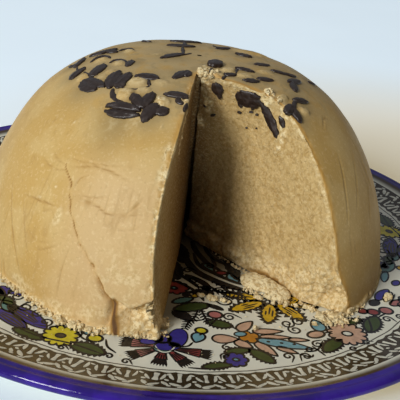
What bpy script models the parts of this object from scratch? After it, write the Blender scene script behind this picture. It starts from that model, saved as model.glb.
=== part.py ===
"""A dome of halva with one wedge cut out of it, standing on its painted pottery plate.

The plate is a turned dish on a foot ring.  The halva is a superelliptic dome, cut from the
crown to the plate by two knife faces that meet in an upright corner, with the knife's own
slit running on behind that corner.  A broken piece lies at the foot of the right face.  The
larger chocolate flakes lie on the crown and on the top of the right face.

Run it with: blender --background --python part.py
"""

import math

import bmesh
import bpy
from mathutils import Vector

MM = 0.001

# Free space that touching pieces keep between them.
GAP = 0.3 * MM

# The plate: a low dish with a flat field, a gently rising border and a rolled lip.
PLATE_RADIUS = 124.6 * MM
PLATE_FIELD_RADIUS = 100.8 * MM
PLATE_BORDER_RADIUS = 120.2 * MM
PLATE_FIELD_HEIGHT = 9.0 * MM
PLATE_BORDER_RISE = 4.5 * MM
PLATE_BORDER_POWER = 1.4
PLATE_LIP_HEIGHT = 13.6 * MM
PLATE_WALL = 5.2 * MM
LIP_FLATNESS = 0.85
LIP_STEPS = 7
BORDER_STEPS = 6
FOOT_RADIUS = 78.0 * MM
FOOT_WIDTH = 6.0 * MM
FOOT_FILLET = 1.0 * MM
PLATE_STEPS = 72

# The halva: (r / radius) ** side_power + (z / height) ** crown_power = 1.
DOME_CENTRE = Vector((3.3 * MM, -6.1 * MM, PLATE_FIELD_HEIGHT + GAP))
DOME_RADIUS = 80.0 * MM
DOME_HEIGHT = 73.9 * MM
SIDE_POWER = 3.19
CROWN_POWER = 1.587
DOME_STEPS = 72
DOME_ROWS = 20
DOME_ROW_CROWDING = 1.6

# The cut, in the dome's own frame, seen from above with the cut towards -Y.
LEFT_FACE_X = 1.0 * MM
LEFT_FACE_LEAN = 0.060
LEFT_FACE_HOLLOW = 0.062
HOLLOW_HEIGHT = 75.0 * MM
CORNER_FOOT_Y = 8.0 * MM
CORNER_TOP_Y = -21.5 * MM
CORNER_TOP_HEIGHT = 73.0 * MM
RIGHT_FACE_OFFSET = 0.5 * MM
TOP_FACE_SLOPE = 0.35
FACE_BLEND = 1.5 * MM
BROKEN_FOOT_DEPTH = 9.0 * MM
BROKEN_FOOT_START = 44.0 * MM
BROKEN_FOOT_END = 62.0 * MM
BROKEN_FOOT_LOW = 4.0 * MM
BROKEN_FOOT_HEIGHT = 22.0 * MM
SLIT_WIDTH_FOOT = 1.6 * MM
SLIT_WIDTH_TOP = 0.8 * MM
SLIT_LENGTH = 17.0 * MM
SLIT_HEIGHT = 62.0 * MM
SLIT_LENGTH_LEAST = 0.6 * MM
CUT_REACH = 110.0 * MM
CUT_LOW = -3.0 * MM
CUT_HIGH = 80.0 * MM
CUT_LEVEL_STEP = 4.5 * MM
CUT_LEVELS = 17
RIGHT_FACE_STEPS = 14
RIGHT_FACE_CROWDING = 1.7

# The broken piece beside the right face.
CHUNK_CENTRE = Vector((30.6 * MM, -38.6 * MM, 0.0))
CHUNK_SIZE = Vector((19.0 * MM, 8.2 * MM, 5.4 * MM))
CHUNK_TURN = math.radians(-43.0)
CHUNK_FLAT = 0.35
CHUNK_LUMPS = 0.10

# Flakes on the crown: place in the dome's frame, length, width, turn in degrees, thickness.
CROWN_FLAKES = (
    (-36.6, -26.5, 12.0, 6.8, -45.0, 1.3),
    (-34.6, -16.6, 9.4, 5.0, 62.0, 1.3),
    (-43.4, -13.8, 8.0, 4.4, 42.0, 1.2),
    (-44.2, -2.2, 9.8, 4.0, 68.0, 1.2),
    (-34.2, 3.6, 11.2, 4.8, 14.0, 1.3),
    (-26.4, -26.6, 10.6, 8.2, 72.0, 1.4),
    (-16.4, -26.6, 9.4, 3.8, -17.0, 1.2),
    (-20.4, -38.6, 7.2, 3.8, -66.0, 1.5),
    (-14.9, -38.8, 7.2, 4.0, 64.0, 1.5),
    (-24.5, -44.9, 12.8, 6.4, -16.0, 1.8),
    (-13.3, -46.4, 8.8, 5.4, 38.0, 1.6),
    (-9.6, -4.2, 11.8, 3.6, 42.0, 1.1),
    (-7.4, 11.4, 10.8, 4.0, 6.0, 1.1),
    (-6.0, 21.4, 12.6, 3.4, 8.0, 1.1),
    (-5.2, -23.9, 8.2, 3.8, 56.0, 1.1),
    (-6.0, -37.4, 8.6, 3.2, -8.0, 1.2),
    (34.3, -10.4, 10.4, 4.0, 68.0, 1.2),
    (36.8, -22.0, 7.8, 3.6, 32.0, 1.3),
)

# Flakes on the right cut face: x and z in the dome's frame, length, width, turn in the face.
FACE_FLAKES = (
    (18.8, 66.9, 9.2, 6.4, -14.0, 1.3),
    (26.8, 60.8, 13.8, 3.8, -56.0, 1.3),
)

FLAKE_SIDES = 10
FLAKE_RIM = 0.5 * MM

HALVA_TAN = (0.55, 0.36, 0.17, 1.0)
HALVA_CRUMB = (0.68, 0.50, 0.27, 1.0)
CHOCOLATE_BROWN = (0.022, 0.012, 0.010, 1.0)
GLAZE_CREAM = (0.66, 0.62, 0.50, 1.0)


def clear_scene():
    """Remove every object of the scene."""
    for item in list(bpy.data.objects):
        bpy.data.objects.remove(item, do_unlink=True)


def finish_material(name, colour, roughness):
    """One Principled material of a colour and a roughness."""
    material = bpy.data.materials.new(name)
    material.use_nodes = True
    shader = material.node_tree.nodes["Principled BSDF"]
    shader.inputs["Base Color"].default_value = colour
    shader.inputs["Roughness"].default_value = roughness
    shader.inputs["Metallic"].default_value = 0.0
    return material


def object_from(bm, name, material, smooth=True):
    """A new object from a bmesh, its faces turned outwards."""
    bmesh.ops.recalc_face_normals(bm, faces=bm.faces)
    mesh = bpy.data.meshes.new(name)
    bm.to_mesh(mesh)
    bm.free()
    mesh.materials.append(material)
    if smooth:
        mesh.shade_smooth()
    item = bpy.data.objects.new(name, mesh)
    bpy.context.scene.collection.objects.link(item)
    return item


def turned(profile, steps):
    """A closed body: a profile of (r, z) from the axis and back to it, spun about Z."""
    bm = bmesh.new()
    points = [bm.verts.new((r, 0.0, z)) for r, z in profile]
    edges = [bm.edges.new(pair) for pair in zip(points, points[1:])]
    bmesh.ops.spin(
        bm, geom=points + edges, axis=(0.0, 0.0, 1.0), cent=(0.0, 0.0, 0.0),
        angle=math.tau, steps=steps, use_merge=True)
    bmesh.ops.remove_doubles(bm, verts=bm.verts, dist=0.00001)
    return bm


def plate_profile():
    """Down the upper side from the axis to the lip, and back under it to the axis."""
    upper = [(0.0, PLATE_FIELD_HEIGHT)]
    upper += [(PLATE_FIELD_RADIUS * part, PLATE_FIELD_HEIGHT) for part in (0.5, 1.0)]
    border = PLATE_BORDER_RADIUS - PLATE_FIELD_RADIUS
    for step in range(1, BORDER_STEPS + 1):
        part = step / BORDER_STEPS
        rise = PLATE_BORDER_RISE * part ** PLATE_BORDER_POWER
        upper.append((PLATE_FIELD_RADIUS + border * part, PLATE_FIELD_HEIGHT + rise))
    lip_radius = (PLATE_RADIUS - PLATE_BORDER_RADIUS) / 2
    lip_height = lip_radius * LIP_FLATNESS
    for step in range(1, LIP_STEPS + 1):
        angle = math.radians(140.0 - 35.0 * step)
        upper.append((PLATE_RADIUS - lip_radius * (1 - math.cos(angle)),
                      PLATE_LIP_HEIGHT - lip_height * (1 - math.sin(angle))))
    under = PLATE_FIELD_HEIGHT - PLATE_WALL
    foot_in = FOOT_RADIUS - FOOT_WIDTH / 2
    foot_out = FOOT_RADIUS + FOOT_WIDTH / 2
    lower = [
        (PLATE_BORDER_RADIUS - 4.0 * MM, under + PLATE_BORDER_RISE),
        (PLATE_FIELD_RADIUS, under + 0.6 * MM),
        (foot_out + FOOT_FILLET, under),
        (foot_out, 0.0),
        (foot_in, 0.0),
        (foot_in - FOOT_FILLET, under),
        (0.0, under),
    ]
    return upper + lower


def dome_profile():
    """The superelliptic outline from the crown down to the foot, and the flat underside."""
    points = []
    for step in range(DOME_ROWS + 1):
        angle = math.pi / 2 * (step / DOME_ROWS) ** DOME_ROW_CROWDING
        r = DOME_RADIUS * math.sin(angle) ** (2 / SIDE_POWER)
        z = DOME_HEIGHT * max(math.cos(angle), 0.0) ** (2 / CROWN_POWER)
        points.append((r, z))
    points[-1] = (DOME_RADIUS, 0.0)
    return points + [(0.0, 0.0)]


def ease(value, low, high):
    """A smooth step from 0 at low to 1 at high."""
    part = min(max((value - low) / (high - low), 0.0), 1.0)
    return part * part * (3 - 2 * part)


def left_face_x(y, z):
    """Across the left face: it leans a little and is hollow at half its height."""
    depth = max(-y, 0.0)
    bow = math.sin(math.pi * min(max(z / HOLLOW_HEIGHT, 0.0), 1.0))
    return LEFT_FACE_X - depth * (LEFT_FACE_LEAN + LEFT_FACE_HOLLOW * bow)


def corner_y(z):
    """Where the two faces meet: behind the centre at the foot, in front of it at the top."""
    part = z / CORNER_TOP_HEIGHT
    return CORNER_FOOT_Y + (CORNER_TOP_Y - CORNER_FOOT_Y) * part


def right_face_y(x, z):
    """Along the right face: 45 degrees from the corner, flatter near the corner's top."""
    straight = RIGHT_FACE_OFFSET - x
    near_corner = corner_y(z) - TOP_FACE_SLOPE * (x - LEFT_FACE_X)
    low = min(straight, near_corner)
    blend = math.exp(-(straight - low) / FACE_BLEND) + math.exp(-(near_corner - low) / FACE_BLEND)
    broken = ease(x, BROKEN_FOOT_START, BROKEN_FOOT_END)
    broken *= 1 - ease(z, BROKEN_FOOT_LOW, BROKEN_FOOT_HEIGHT)
    return low - FACE_BLEND * math.log(blend) + BROKEN_FOOT_DEPTH * broken


def slit_at(z):
    """The knife slit behind the corner at a height: its width and how far it runs on."""
    part = min(max(z / SLIT_HEIGHT, 0.0), 1.0)
    width = SLIT_WIDTH_FOOT + (SLIT_WIDTH_TOP - SLIT_WIDTH_FOOT) * part
    return width, max(SLIT_LENGTH * (1 - part), SLIT_LENGTH_LEAST)


def cut_outline(z):
    """The plan of the cut at one height, all the way round."""
    height = min(max(z, 0.0), CORNER_TOP_HEIGHT)
    width, length = slit_at(height)
    right_x = LEFT_FACE_X + width
    corner = right_face_y(right_x, height)
    plan = [
        (left_face_x(-CUT_REACH, height), -CUT_REACH),
        (left_face_x(corner, height), corner),
        (LEFT_FACE_X, corner + length),
        (right_x, corner + length),
        (right_x, corner),
    ]
    for step in range(1, RIGHT_FACE_STEPS + 1):
        part = (step / RIGHT_FACE_STEPS) ** RIGHT_FACE_CROWDING
        x = right_x + (CUT_REACH - right_x) * part
        plan.append((x, right_face_y(x, height)))
    plan.append((CUT_REACH, -CUT_REACH - 5.0 * MM))
    return [Vector((x, y, z)) + DOME_CENTRE for x, y in plan]


def cut_body():
    """The wedge that the knife took out, lofted through its outlines, with its slit."""
    heights = [CUT_LOW] + [CUT_LEVEL_STEP * step for step in range(CUT_LEVELS)] + [CUT_HIGH]
    bm = bmesh.new()
    rings = [[bm.verts.new(point) for point in cut_outline(z)] for z in heights]
    for low, high in zip(rings, rings[1:]):
        for index in range(len(low)):
            after = (index + 1) % len(low)
            bm.faces.new((low[index], low[after], high[after], high[index]))
    bm.faces.new(reversed(rings[0]))
    bm.faces.new(rings[-1])
    return bm


def halva(material):
    """The dome with the wedge taken out of it."""
    bm = turned(dome_profile(), DOME_STEPS)
    bmesh.ops.translate(bm, verts=bm.verts, vec=DOME_CENTRE)
    body = object_from(bm, "halva_body", material, smooth=False)
    cutter = object_from(cut_body(), "cut_guide", material, smooth=False)
    cutter.hide_render = True
    cutter.display_type = "WIRE"
    cut = body.modifiers.new("wedge", "BOOLEAN")
    cut.object = cutter
    cut.operation = "DIFFERENCE"
    cut.solver = "EXACT"


def dome_ground(point):
    """The nearest point of the dome's outside and the direction out of it there."""
    place = point.copy()
    out = Vector((0.0, 0.0, 1.0))
    for _ in range(4):
        r = max(math.hypot(place.x, place.y), 1e-6)
        z = max(place.z, 1e-6)
        side = (r / DOME_RADIUS) ** SIDE_POWER
        crown = (z / DOME_HEIGHT) ** CROWN_POWER
        slope = Vector((SIDE_POWER * side / r * place.x / r,
                        SIDE_POWER * side / r * place.y / r,
                        CROWN_POWER * crown / z))
        out = slope.normalized()
        place -= out * ((side + crown - 1) / slope.length)
    return place, out


def face_ground(point):
    """The right cut face beside a point, and the direction out of the halva there."""
    step = 0.5 * MM
    place = Vector((point.x, right_face_y(point.x, point.z), point.z))
    along = right_face_y(point.x + step, point.z) - place.y
    up = right_face_y(point.x, point.z + step) - place.y
    return place, Vector((along, -step, up)).normalized()


def flake(name, ground, start, heading, size, material):
    """A lens of chocolate that lies on a curved ground, its underside one gap above it."""
    length, width, thickness = size
    middle, out = ground(start)
    along = (heading - out * heading.dot(out)).normalized()
    across = out.cross(along)
    bm = bmesh.new()

    def lay(part, side, height):
        angle = math.tau * side / FLAKE_SIDES
        reach = along * (part * length / 2 * math.cos(angle))
        reach += across * (part * width / 2 * math.sin(angle))
        place, normal = ground(middle + reach)
        return bm.verts.new(place + normal * height + DOME_CENTRE)

    levels = ((0.55, GAP), (1.0, GAP), (1.0, GAP + FLAKE_RIM), (0.55, GAP + thickness * 0.92))
    rings = [[lay(part, side, height) for side in range(FLAKE_SIDES)] for part, height in levels]
    bottom = lay(0.0, 0, GAP)
    top = lay(0.0, 0, GAP + thickness)
    for low, high in zip(rings, rings[1:]):
        for side in range(FLAKE_SIDES):
            after = (side + 1) % FLAKE_SIDES
            bm.faces.new((low[side], low[after], high[after], high[side]))
    for side in range(FLAKE_SIDES):
        after = (side + 1) % FLAKE_SIDES
        bm.faces.new((bottom, rings[0][after], rings[0][side]))
        bm.faces.new((top, rings[-1][side], rings[-1][after]))
    object_from(bm, name, material)


def crown_flakes(material):
    """The larger flakes on top of the dome."""
    for number, (x, y, length, width, turn, thickness) in enumerate(CROWN_FLAKES, 1):
        start = Vector((x * MM, y * MM, DOME_HEIGHT * 0.9))
        heading = Vector((math.cos(math.radians(turn)), math.sin(math.radians(turn)), 0.0))
        size = (length * MM, width * MM, thickness * MM)
        flake(f"chocolate_flake_{number:02d}", dome_ground, start, heading, size, material)


def face_flakes(material):
    """The two larger flakes that the knife laid bare on the right face."""
    side = math.radians(-45.0)
    for number, (x, z, length, width, turn, thickness) in enumerate(FACE_FLAKES, 1):
        start = Vector((x * MM, 0.0, z * MM))
        level = math.cos(math.radians(turn))
        heading = Vector((level * math.cos(side), level * math.sin(side),
                          math.sin(math.radians(turn))))
        size = (length * MM, width * MM, thickness * MM)
        flake(f"chocolate_in_cut_{number}", face_ground, start, heading, size, material)


def broken_piece(material):
    """A crumbled slab: a sphere squeezed to the slab's size and flattened underneath."""
    bm = bmesh.new()
    bmesh.ops.create_icosphere(bm, subdivisions=2, radius=1.0)
    cosine = math.cos(CHUNK_TURN)
    sine = math.sin(CHUNK_TURN)
    rise = CHUNK_SIZE.z / (1 + CHUNK_FLAT)
    for vert in bm.verts:
        lump = 1 + CHUNK_LUMPS * math.sin(5 * vert.co.x + 2) * math.cos(4 * vert.co.y)
        square = max(abs(vert.co.x), abs(vert.co.y)) ** 0.25
        place = Vector((vert.co.x * square * lump * CHUNK_SIZE.x / 2,
                        vert.co.y * square * lump * CHUNK_SIZE.y / 2,
                        (max(vert.co.z, -CHUNK_FLAT) + CHUNK_FLAT) * rise))
        vert.co = Vector((place.x * cosine - place.y * sine,
                          place.x * sine + place.y * cosine,
                          place.z))
    bmesh.ops.translate(bm, verts=bm.verts, vec=DOME_CENTRE + CHUNK_CENTRE)
    object_from(bm, "halva_broken_piece", material, smooth=False)


def main():
    clear_scene()
    object_from(turned(plate_profile(), PLATE_STEPS), "plate",
                finish_material("plate_glaze", GLAZE_CREAM, 0.15))
    halva(finish_material("halva_skin", HALVA_TAN, 0.55))
    broken_piece(finish_material("halva_crumb", HALVA_CRUMB, 0.85))
    chocolate = finish_material("dark_chocolate", CHOCOLATE_BROWN, 0.40)
    crown_flakes(chocolate)
    face_flakes(chocolate)


if __name__ == "__main__":
    main()
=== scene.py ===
"""A dome of halva with a wedge cut out of it, on a painted pottery plate.

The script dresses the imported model.  Every shape is a surface of two parameters, worked out as
whole arrays in millimetres: the halva in the dome's own frame, with its foot at z = 0 on the
plate, and the plate and its painting in the plate's frame.  Both become metres in make_piece.
"""

import math

import bpy
import numpy as np
from bpy.props import FloatProperty, FloatVectorProperty, PointerProperty
from mathutils import Matrix, Vector


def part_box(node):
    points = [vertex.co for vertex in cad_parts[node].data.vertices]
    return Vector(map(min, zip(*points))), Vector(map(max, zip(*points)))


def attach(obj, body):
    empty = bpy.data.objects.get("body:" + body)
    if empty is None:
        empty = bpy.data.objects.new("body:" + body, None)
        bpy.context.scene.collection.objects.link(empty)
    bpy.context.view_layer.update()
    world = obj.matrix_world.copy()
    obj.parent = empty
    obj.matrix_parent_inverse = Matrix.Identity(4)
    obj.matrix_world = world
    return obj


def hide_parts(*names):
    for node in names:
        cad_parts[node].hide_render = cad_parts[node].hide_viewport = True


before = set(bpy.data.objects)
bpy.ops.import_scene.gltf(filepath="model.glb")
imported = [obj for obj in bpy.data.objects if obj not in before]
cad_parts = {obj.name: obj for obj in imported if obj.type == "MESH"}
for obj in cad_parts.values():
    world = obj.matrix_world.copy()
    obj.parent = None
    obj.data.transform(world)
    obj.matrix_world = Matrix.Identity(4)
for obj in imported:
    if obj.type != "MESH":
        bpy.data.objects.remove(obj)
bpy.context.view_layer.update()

bl_info = {
    "name": "Halva on a Painted Plate",
    "version": (1, 0, 0),
    "blender": (4, 5, 0),
    "location": "3D View > Sidebar > Halva",
    "description": "Makes a cut dome of halva, its chocolate and crumbs, and a painted plate",
    "category": "Add Mesh",
}

MM = 0.001
TAU = math.tau

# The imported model's boxes: lowest and highest corners, in millimetres.
_, PLATE_HIGH = (np.array(corner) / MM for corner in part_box("plate"))
HALVA_LOW, HALVA_HIGH = (np.array(corner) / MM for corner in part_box("halva_body"))
CHUNK_LOW, CHUNK_HIGH = (np.array(corner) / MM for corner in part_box("halva_broken_piece"))

# The plate: a flat field, a border that rises as a power of the way out, and a rolled lip.
PLATE_RADIUS = PLATE_HIGH[0]
LIP_HEIGHT = PLATE_HIGH[2]
FIELD_RADIUS = 100.8
BORDER_RADIUS = 120.2
FIELD_HEIGHT = 9.0
BORDER_RISE = 4.5
BORDER_POWER = 1.4
PLATE_WALL = 5.2
FOOT_RADIUS = 78.0
FOOT_WIDTH = 6.0

# The dome: (r / radius) ** side power + (z / height) ** crown power = 1.
DOME_RADIUS = (HALVA_HIGH[0] - HALVA_LOW[0]) / 2
DOME_HEIGHT = HALVA_HIGH[2] - HALVA_LOW[2]
DOME_CENTRE = np.array((HALVA_HIGH[0] - DOME_RADIUS, HALVA_HIGH[1] - DOME_RADIUS, HALVA_LOW[2]))
SIDE_POWER = 3.19
CROWN_POWER = 1.587

# The two knife faces, the corner where they meet and the slit that runs on behind it.
LEFT_FACE_X = 1.0
LEFT_FACE_LEAN = 0.060
LEFT_FACE_HOLLOW = 0.062
HOLLOW_HEIGHT = 75.0
CORNER_FOOT_Y = 8.0
CORNER_TOP_Y = -21.5
CORNER_TOP_HEIGHT = 73.0
RIGHT_FACE_OFFSET = 0.5
TOP_FACE_SLOPE = 0.35
FACE_BLEND = 1.5
BROKEN_FOOT_DEPTH = 9.0
SLIT_WIDTH_FOOT = 1.6
SLIT_WIDTH_TOP = 0.8
SLIT_LENGTH = 17.0
SLIT_HEIGHT = 62.0
NOTCH_END_AZIMUTH = math.radians(-87.3)


# ---- Settings ----

def length(name, description, millimetres):
    """A length of the panel, shown in the scene's unit."""
    return FloatProperty(name=name, description=description, default=millimetres * MM,
                         min=0.0, subtype="DISTANCE", unit="LENGTH", precision=4)


def tint(name, description, red, green, blue):
    """A colour of the panel, in scene-linear values."""
    return FloatVectorProperty(name=name, description=description, default=(red, green, blue),
                               min=0.0, max=1.0, size=3, subtype="COLOR")


class HalvaSettings(bpy.types.PropertyGroup):
    """The relief and the colours of the halva and its chocolate."""

    lump: length("Lumps", "Height of the broad lumps of the skin", 0.42)
    grain: length("Grain", "Height of the grain on the cut faces", 0.26)
    crack: length("Crack", "Depth of the long crack in the front", 2.6)
    crumble: length("Crumbled Foot", "How far the foot crumbles outwards", 0.9)
    bevel: length("Cut Edge", "How far the skin rounds over at the cut", 0.7)
    skin: tint("Skin", "Smooth outside of the halva", 0.60, 0.378, 0.118)
    skin_pale: tint("Pale Skin", "Paler patches of the outside", 0.65, 0.440, 0.165)
    # Dark skin of pores and streaks, also used as the painted shade of the creases.
    deep_skin_and_crease_shade: tint("Deep Skin", "Creases", 0.40, 0.220, 0.060)
    # Painted shade: the paste of the cut faces darkens towards the corner of the wedge.
    smear: tint("Smeared Paste", "Oily paste deep in the cut", 0.17, 0.088, 0.030)
    crown: tint("Crown", "Greyer skin on top", 0.58, 0.420, 0.190)
    stain: tint("Oily Skin", "Skin round the chocolate", 0.33, 0.240, 0.105)
    golden: tint("Golden Skin", "Skin at the edge of the cut", 0.60, 0.310, 0.060)
    # Painted shade inside the long crack.
    depth: tint("Crack Depth", "Inside of the long crack", 0.15, 0.075, 0.030)
    paste: tint("Cut Paste", "Darker grain of a cut face", 0.49, 0.312, 0.108)
    paste_pale: tint("Pale Paste", "Paler grain of a cut face", 0.64, 0.448, 0.190)
    blush: tint("Blush", "Pinker skin of the front, low down", 0.68, 0.465, 0.220)
    crumb: tint("Crumb", "Palest paste, where it is broken or crumbled", 0.95, 0.790, 0.460)
    chocolate: tint("Chocolate", "Dark chocolate", 0.028, 0.016, 0.011)


class PlateSettings(bpy.types.PropertyGroup):
    """The glaze of the plate and the paints of its garland."""

    glaze: tint("Glaze", "Cream ground of the plate", 0.84, 0.82, 0.67)
    painted_middle_shade: tint("Brown Wash", "Ground in the middle of the plate", 0.17, 0.140, 0.080)
    # Painted shade: the ground darkens towards the middle of the plate, where the halva shades it.
    foot: tint("Foot", "Bare clay of the foot ring", 0.46, 0.33, 0.22)
    band: tint("Brown Band", "Shaded band outside the scroll", 0.085, 0.055, 0.030)
    cobalt: tint("Cobalt", "Blue of the lip", 0.045, 0.018, 0.290)
    line: tint("Black Line", "Outlines and curls", 0.018, 0.015, 0.014)
    scroll: tint("Scroll Brown", "Vine of the scroll border", 0.060, 0.042, 0.022)
    yellow: tint("Yellow", "Daisies and dots", 0.70, 0.58, 0.030)
    amber: tint("Amber", "Lotus petals and dots", 0.72, 0.44, 0.020)
    orange: tint("Orange", "Heart of the lily", 0.56, 0.22, 0.020)
    pink: tint("Pink", "Petals", 0.66, 0.41, 0.270)
    rose: tint("Rose", "Dots and ovals", 0.45, 0.16, 0.140)
    red: tint("Red", "Carnation petals", 0.27, 0.045, 0.040)
    violet: tint("Violet", "Irises and pansies", 0.050, 0.038, 0.260)
    sky: tint("Light Blue", "Drops and the feather leaf", 0.20, 0.41, 0.46)
    teal: tint("Teal", "Teal leaves", 0.12, 0.25, 0.22)
    green: tint("Green", "Dark leaves", 0.055, 0.080, 0.022)
    stroke: length("Paint Thickness", "How far the paint stands on the glaze", 0.05)


class StageSettings(bpy.types.PropertyGroup):
    """The floor, the lamps and the camera's lens."""

    floor: tint("Floor", "Plain pale floor", 0.84, 0.92, 0.96)
    # Painted shade: the floor is darker in front, where the lamp lights it most.
    floor_near_shade: tint("Near Floor", "The same in front", 0.58, 0.66, 0.72)
    # Painted sheen: the floor glows; near the plate the glow turns to a painted shadow.
    floor_glow: tint("Floor Glow", "Sheen of the floor", 0.29, 0.355, 0.40)
    floor_shade: tint("Floor Shade", "The same in the lee of the plate", 0.26, 0.18, 0.04)
    above: tint("Light Above", "Soft light from above", 1.10, 1.20, 1.34)
    beside: tint("Light Beside", "Soft light from the right", 0.52, 0.38, 0.26)
    before: tint("Light Before", "Soft light from the front", 0.05, 0.05, 0.05)
    ambient: FloatProperty(name="Soft Light", default=0.26, min=0.0,
                           description="Strength of the soft light from all round")
    key: FloatProperty(name="Key Lamp", default=155.0, min=0.0, unit="POWER",
                       description="Power of the lamp at the left")
    key_size: length("Key Size", "Width of the lamp at the left", 1300.0)
    lens: FloatProperty(name="Lens", default=79.59, min=1.0, subtype="DISTANCE_CAMERA",
                        description="Focal length, in millimetres")


# ---- Small maths ----

def ease(value, low, high):
    """A smooth step, 0 at low and 1 at high: 3 t^2 - 2 t^3 of the way between them."""
    part = np.clip((value - low) / (high - low), 0.0, 1.0)
    return part * part * (3 - 2 * part)


def fall(value, low, high):
    """What a smooth step leaves: 1 at low and 0 at high."""
    return 1 - ease(value, low, high)


def hill(value, width):
    """A bell: 1 at 0, falling as exp of minus (value / width) squared."""
    return np.exp(-(value / width) ** 2)


def stacked(*parts):
    """Coordinates as points, along a last axis."""
    return np.stack(np.broadcast_arrays(*parts), axis=-1)


def unit(vectors):
    """Vectors along the last axis, each made one long."""
    return vectors / np.maximum(np.linalg.norm(vectors, axis=-1, keepdims=True), 1e-12)


def noise(points, size, seed):
    """Smooth random relief, -1 to 1.

    Space is cut into cubes of a size.  A table made from the seed gives each cube corner a
    value, and a point takes the values of its cube's 8 corners, mixed by a quintic ease.
    """
    table = np.random.default_rng(seed).random(4096) * 2 - 1
    scaled = points / size
    cell = np.floor(scaled)
    part = scaled - cell
    weight = part ** 3 * (part * (6 * part - 15) + 10)
    cell = cell.astype(np.int64)
    total = np.zeros(points.shape[:-1])
    for corner in np.ndindex(*(2,) * points.shape[-1]):
        key = (cell + corner) @ np.array((73856093, 19349663, 83492791))[:points.shape[-1]]
        key = (key ^ (key >> 15)) * 2246822519
        share = np.prod(np.where(corner, weight, 1 - weight), axis=-1)
        total += table[(key ^ (key >> 13)) & 4095] * share
    return total


def turned(points, degrees):
    """Points turned about the origin in their first two coordinates."""
    cosine, sine = math.cos(math.radians(degrees)), math.sin(math.radians(degrees))
    return points @ np.array(((cosine, sine), (-sine, cosine)))


def smooth_path(points, steps, closed=False):
    """A Catmull-Rom curve through a few points: each stretch is the cubic whose end slopes
    are half the line between its neighbours."""
    points = np.asarray(points, float)
    if closed:
        knots = np.concatenate((points[-1:], points, points[:2]))
    else:
        knots = np.concatenate((2 * points[:1] - points[1:2], points,
                                2 * points[-1:] - points[-2:-1]))
    t = (np.arange(steps) / steps)[None, :, None]
    a, b, c, d = (knots[n:len(knots) - 3 + n][:, None, :] for n in range(4))
    curve = 0.5 * (2 * b + (c - a) * t + (2 * a - 5 * b + 4 * c - d) * t ** 2
                   + (3 * b - a - 3 * c + d) * t ** 3)
    curve = curve.reshape(-1, points.shape[1])
    return curve if closed else np.concatenate((curve, points[-1:]))


def path_offset(points, path):
    """For each point: its distance to a path in space, and how far along it, 0 to 1."""
    nearest = np.full(len(points), np.inf)
    along = np.zeros(len(points))
    for number, (start, end) in enumerate(zip(path, path[1:])):
        stretch = end - start
        part = np.clip((points - start) @ stretch / (stretch @ stretch), 0.0, 1.0)
        gap = np.linalg.norm(points - start - part[:, None] * stretch, axis=1)
        closer = gap < nearest
        nearest = np.where(closer, gap, nearest)
        along = np.where(closer, (number + part) / (len(path) - 1), along)
    return nearest, along


# ---- Meshes ----

def grid_faces(rows, columns, wrap):
    """Quads of a grid stored row after row; wrap joins the last column to the first."""
    row = np.arange(rows - 1)[:, None] * columns
    column = np.arange(columns if wrap else columns - 1)[None, :]
    after = (column + 1) % columns
    quads = (row + column, row + after, row + columns + after, row + columns + column)
    return np.stack(quads, axis=-1).reshape(-1, 4)


def fan_faces(ring, centre):
    """Triangles, as quads with a doubled corner, from a ring of point numbers to a centre."""
    after = np.roll(ring, -1)
    middle = np.full(len(ring), centre)
    return stacked(ring, after, middle, middle)


def joined(shapes):
    """Several (points, faces) shapes as one."""
    starts = np.cumsum([0] + [len(points) for points, _ in shapes])
    points = np.concatenate([points for points, _ in shapes])
    faces = np.concatenate([faces + start for (_, faces), start in zip(shapes, starts)])
    return points, faces


def welded(points, faces):
    """Points that coincide made one, and the quads split into triangles that have an area.

    Returns the kept points' old numbers, every point's new number, and the triangles.
    """
    _, kept, number = np.unique(np.round(points, 4), axis=0,
                                return_index=True, return_inverse=True)
    number = number.reshape(-1)
    quads = number[faces]
    triangles = np.concatenate((quads[:, (0, 1, 2)], quads[:, (0, 2, 3)]))
    a, b, c = triangles.T
    return kept, number, triangles[(a != b) & (b != c) & (c != a)]


def volume(points, triangles):
    """The signed volume inside a closed surface, positive if its faces point outwards."""
    a, b, c = (points[triangles[:, n]] for n in range(3))
    return np.einsum("ij,ij->i", a, np.cross(b, c)).sum() / 6


def vertex_normals(points, triangles):
    """Directions out of a surface at its points: sums of the crosses of their triangles."""
    a, b, c = (points[triangles[:, n]] for n in range(3))
    across = np.cross(b - a, c - a)
    total = np.zeros_like(points)
    for n in range(3):
        for axis in range(3):
            total[:, axis] += np.bincount(triangles[:, n], across[:, axis], len(points))
    return unit(total)


def add_object(name, data):
    """A new object in the scene."""
    made = bpy.data.objects.new(name, data)
    bpy.context.scene.collection.objects.link(made)
    return made


def make_piece(name, points, triangles, material, replaces=(), loops=(), values=None,
               smooth=True):
    """One piece of the object: millimetres become metres, and it rides on the root body.

    loops are further flat faces with many corners, and values are numbers kept at each point
    for the material to read.
    """
    if volume(points, triangles) < 0 and not loops:
        triangles = triangles[:, ::-1]
    mesh = bpy.data.meshes.new(name)
    mesh.from_pydata(points * MM, [], triangles.tolist() + [list(loop) for loop in loops])
    for key, numbers in (values or {}).items():
        layer = mesh.attributes.new(key, "FLOAT", "POINT")
        layer.data.foreach_set("value", np.asarray(numbers, np.float32))
    mesh.polygons.foreach_set("use_smooth", np.full(len(mesh.polygons), smooth))
    mesh.materials.append(material)
    mesh.update()
    made = add_object(name, mesh)
    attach(made, "root")
    if replaces:
        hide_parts(*replaces)
    return made


# ---- Materials ----

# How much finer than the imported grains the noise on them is.
FINE_GRAIN_STEP = 2.7


def feed(socket, value):
    """A socket linked to another, or set to a number, a vector or a colour."""
    if isinstance(value, bpy.types.NodeSocket):
        socket.id_data.links.new(value, socket)
    elif socket.type == "RGBA":
        socket.default_value = (*value, 1.0)
    else:
        socket.default_value = value


def fill_inputs(made, **inputs):
    """Sockets by name, with underscores for spaces."""
    for key, value in inputs.items():
        feed(made.inputs[key.replace("_", " ")], value)
    return made


def dimmed(colour, share):
    """A colour times a share."""
    return tuple(share * part for part in colour)


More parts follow.
